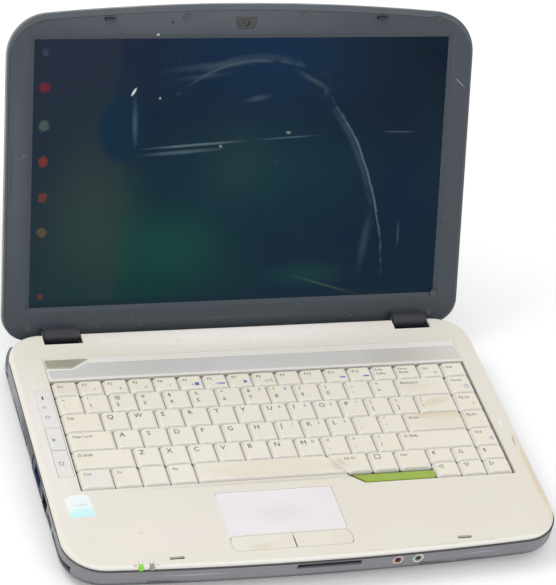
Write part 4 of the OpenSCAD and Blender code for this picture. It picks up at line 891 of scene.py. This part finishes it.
for body, keys in rows.items():
    for x, y, w, d, label in keys:
        side, back = x + 3.6, y + d - 1.7
        print_label(body, side, back, label)
        last = label.split("\n")[-1]
        sign = second_jobs.get(last)
        if sign and body != "arrow_keys":
            low_row = d < row
            beside = len(last) == 1 and not low_row and body != "navigation_keys"
            sign_y = back - 0.6 if beside else y + (7.2 if low_row else 8.6)
            mark(body, blue_ink, sign, x + w - (7.4 if len(sign) < 2 else 9.4), sign_y, sign_type)
for (body, paint), pieces in printed.items():
    piece = join(pieces, body + ("_marks" if paint == ink else "_signs"))
    settle(piece, deck_matrix)
    paint_over(piece, paint)
    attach(piece, body)
print("printed marks:", sum(len(v) for v in printed.values()))

# %% [markdown]
# ## Signs, flaps and a dummy card
# Small plain signs stand beside the launch keys and the status lights. A flap closes each
# latch slot from below, just deeper than the lid's hook reaches, and a worn dummy card fills
# the card reader.

# %% Print the signs
above_deck = 0.03
panel_signs = [("\u25ae", 168, 3.4), ("\u2302", 158.5, 3.4), ("\u25a1", 148.5, 3.4), ("e", 127.5, 5),
               ("\u25a1", 103.5, 4)]
light_signs = [("\u25cb", -129.5), ("\u25ad", -114.5)]
signs = [text_at(sign, -158.5, y, size, above_deck) for sign, y, size in panel_signs]
signs += [text_at(sign, x, 6.4, 2.4, above_deck) for sign, x in light_signs]
print("signs:", len(signs))
piece = join(signs, "launch_signs")
settle(piece, deck_matrix)
paint_over(piece, ink)
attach(piece, "base")

# %% [markdown]
# Both flaps and the card are rounded blocks. Thin plastic parts show as little more than a
# soft edge, so a cube with bevelled edges is enough, and one function makes all three.

# %% Model the flaps and the card
def block(name, low, high, round_by, paint):
    """A block between two corners in the deck's millimetres, with its edges rounded."""
    bpy.ops.object.select_all(action="DESELECT")
    bpy.ops.mesh.primitive_cube_add(size=1, location=[(a + b) / 2 for a, b in zip(low, high)])
    made = bpy.context.object
    made.name = name
    made.scale = [b - a for a, b in zip(low, high)]
    bpy.ops.object.transform_apply(location=True, rotation=True, scale=True)
    bpy.ops.object.mode_set(mode="EDIT")
    bpy.ops.mesh.select_all(action="SELECT")
    bpy.ops.mesh.bevel(offset=round_by, segments=2, affect="EDGES")
    bpy.ops.object.mode_set(mode="OBJECT")
    bpy.ops.object.shade_smooth_by_angle(angle=math.radians(40))
    settle(made, deck_matrix)
    made.data.materials.append(paint)
    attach(made, "base")
    return made

slot_x, flap_half, flap_low, flap_top = 99.5, 4.6, -4.2, -3
for side, x in (("left", -slot_x), ("right", slot_x)):
    block(side + "_latch_flap", (x - flap_half, 9, flap_low), (x + flap_half, 11, flap_top), 0.3, cream)
card_worn = finish_of("card_worn", (128, 134, 136), 0.4, [
    (deck_patch, dict(Centre=(12, 2, -6), Size=(9, 20, 8), Soft=0.6, Ragged=0.4), (136, 112, 100), 0.9),
    (speckle, dict(Scale=420.0, Amount=1.0), (206, 204, 200), 0.8),
    (mottle, dict(Scale=90.0, Amount=0.8), (92, 96, 98), 0.7)])
card = block("dummy_card", (-17.8, 2.2, -7.15), (22.6, 30, -5.25), 0.3, card_worn)
print("flaps hang", -flap_top, "mm below the deck, and the card has", len(card.data.polygons), "faces")

# %% [markdown]
# ## Floor finish
# The floor is matt and nearly white. It glows a little for the camera, and for what it mirrors
# or sees through, so the background reads as white while the shadow stays.

# %% Finish the floor
floor_paint, tree, floor_shader = blank("pale_floor")
floor_shader.inputs["Base Color"].default_value = (0.93, 0.93, 0.93, 1)
floor_shader.inputs["Roughness"].default_value = 0.9
floor_shader.inputs["Emission Color"].default_value = (1, 1, 1, 1)
rays = node(tree, "ShaderNodeLightPath").outputs
seen = maths(tree, "MAXIMUM", rays["Is Camera Ray"],
             maths(tree, "MAXIMUM", rays["Is Glossy Ray"], rays["Is Transmission Ray"]))
tree.links.new(maths(tree, "MULTIPLY", seen, 0.14), floor_shader.inputs["Emission Strength"])
floor.data.materials.append(floor_paint)
print("floor wears", floor_paint.name)
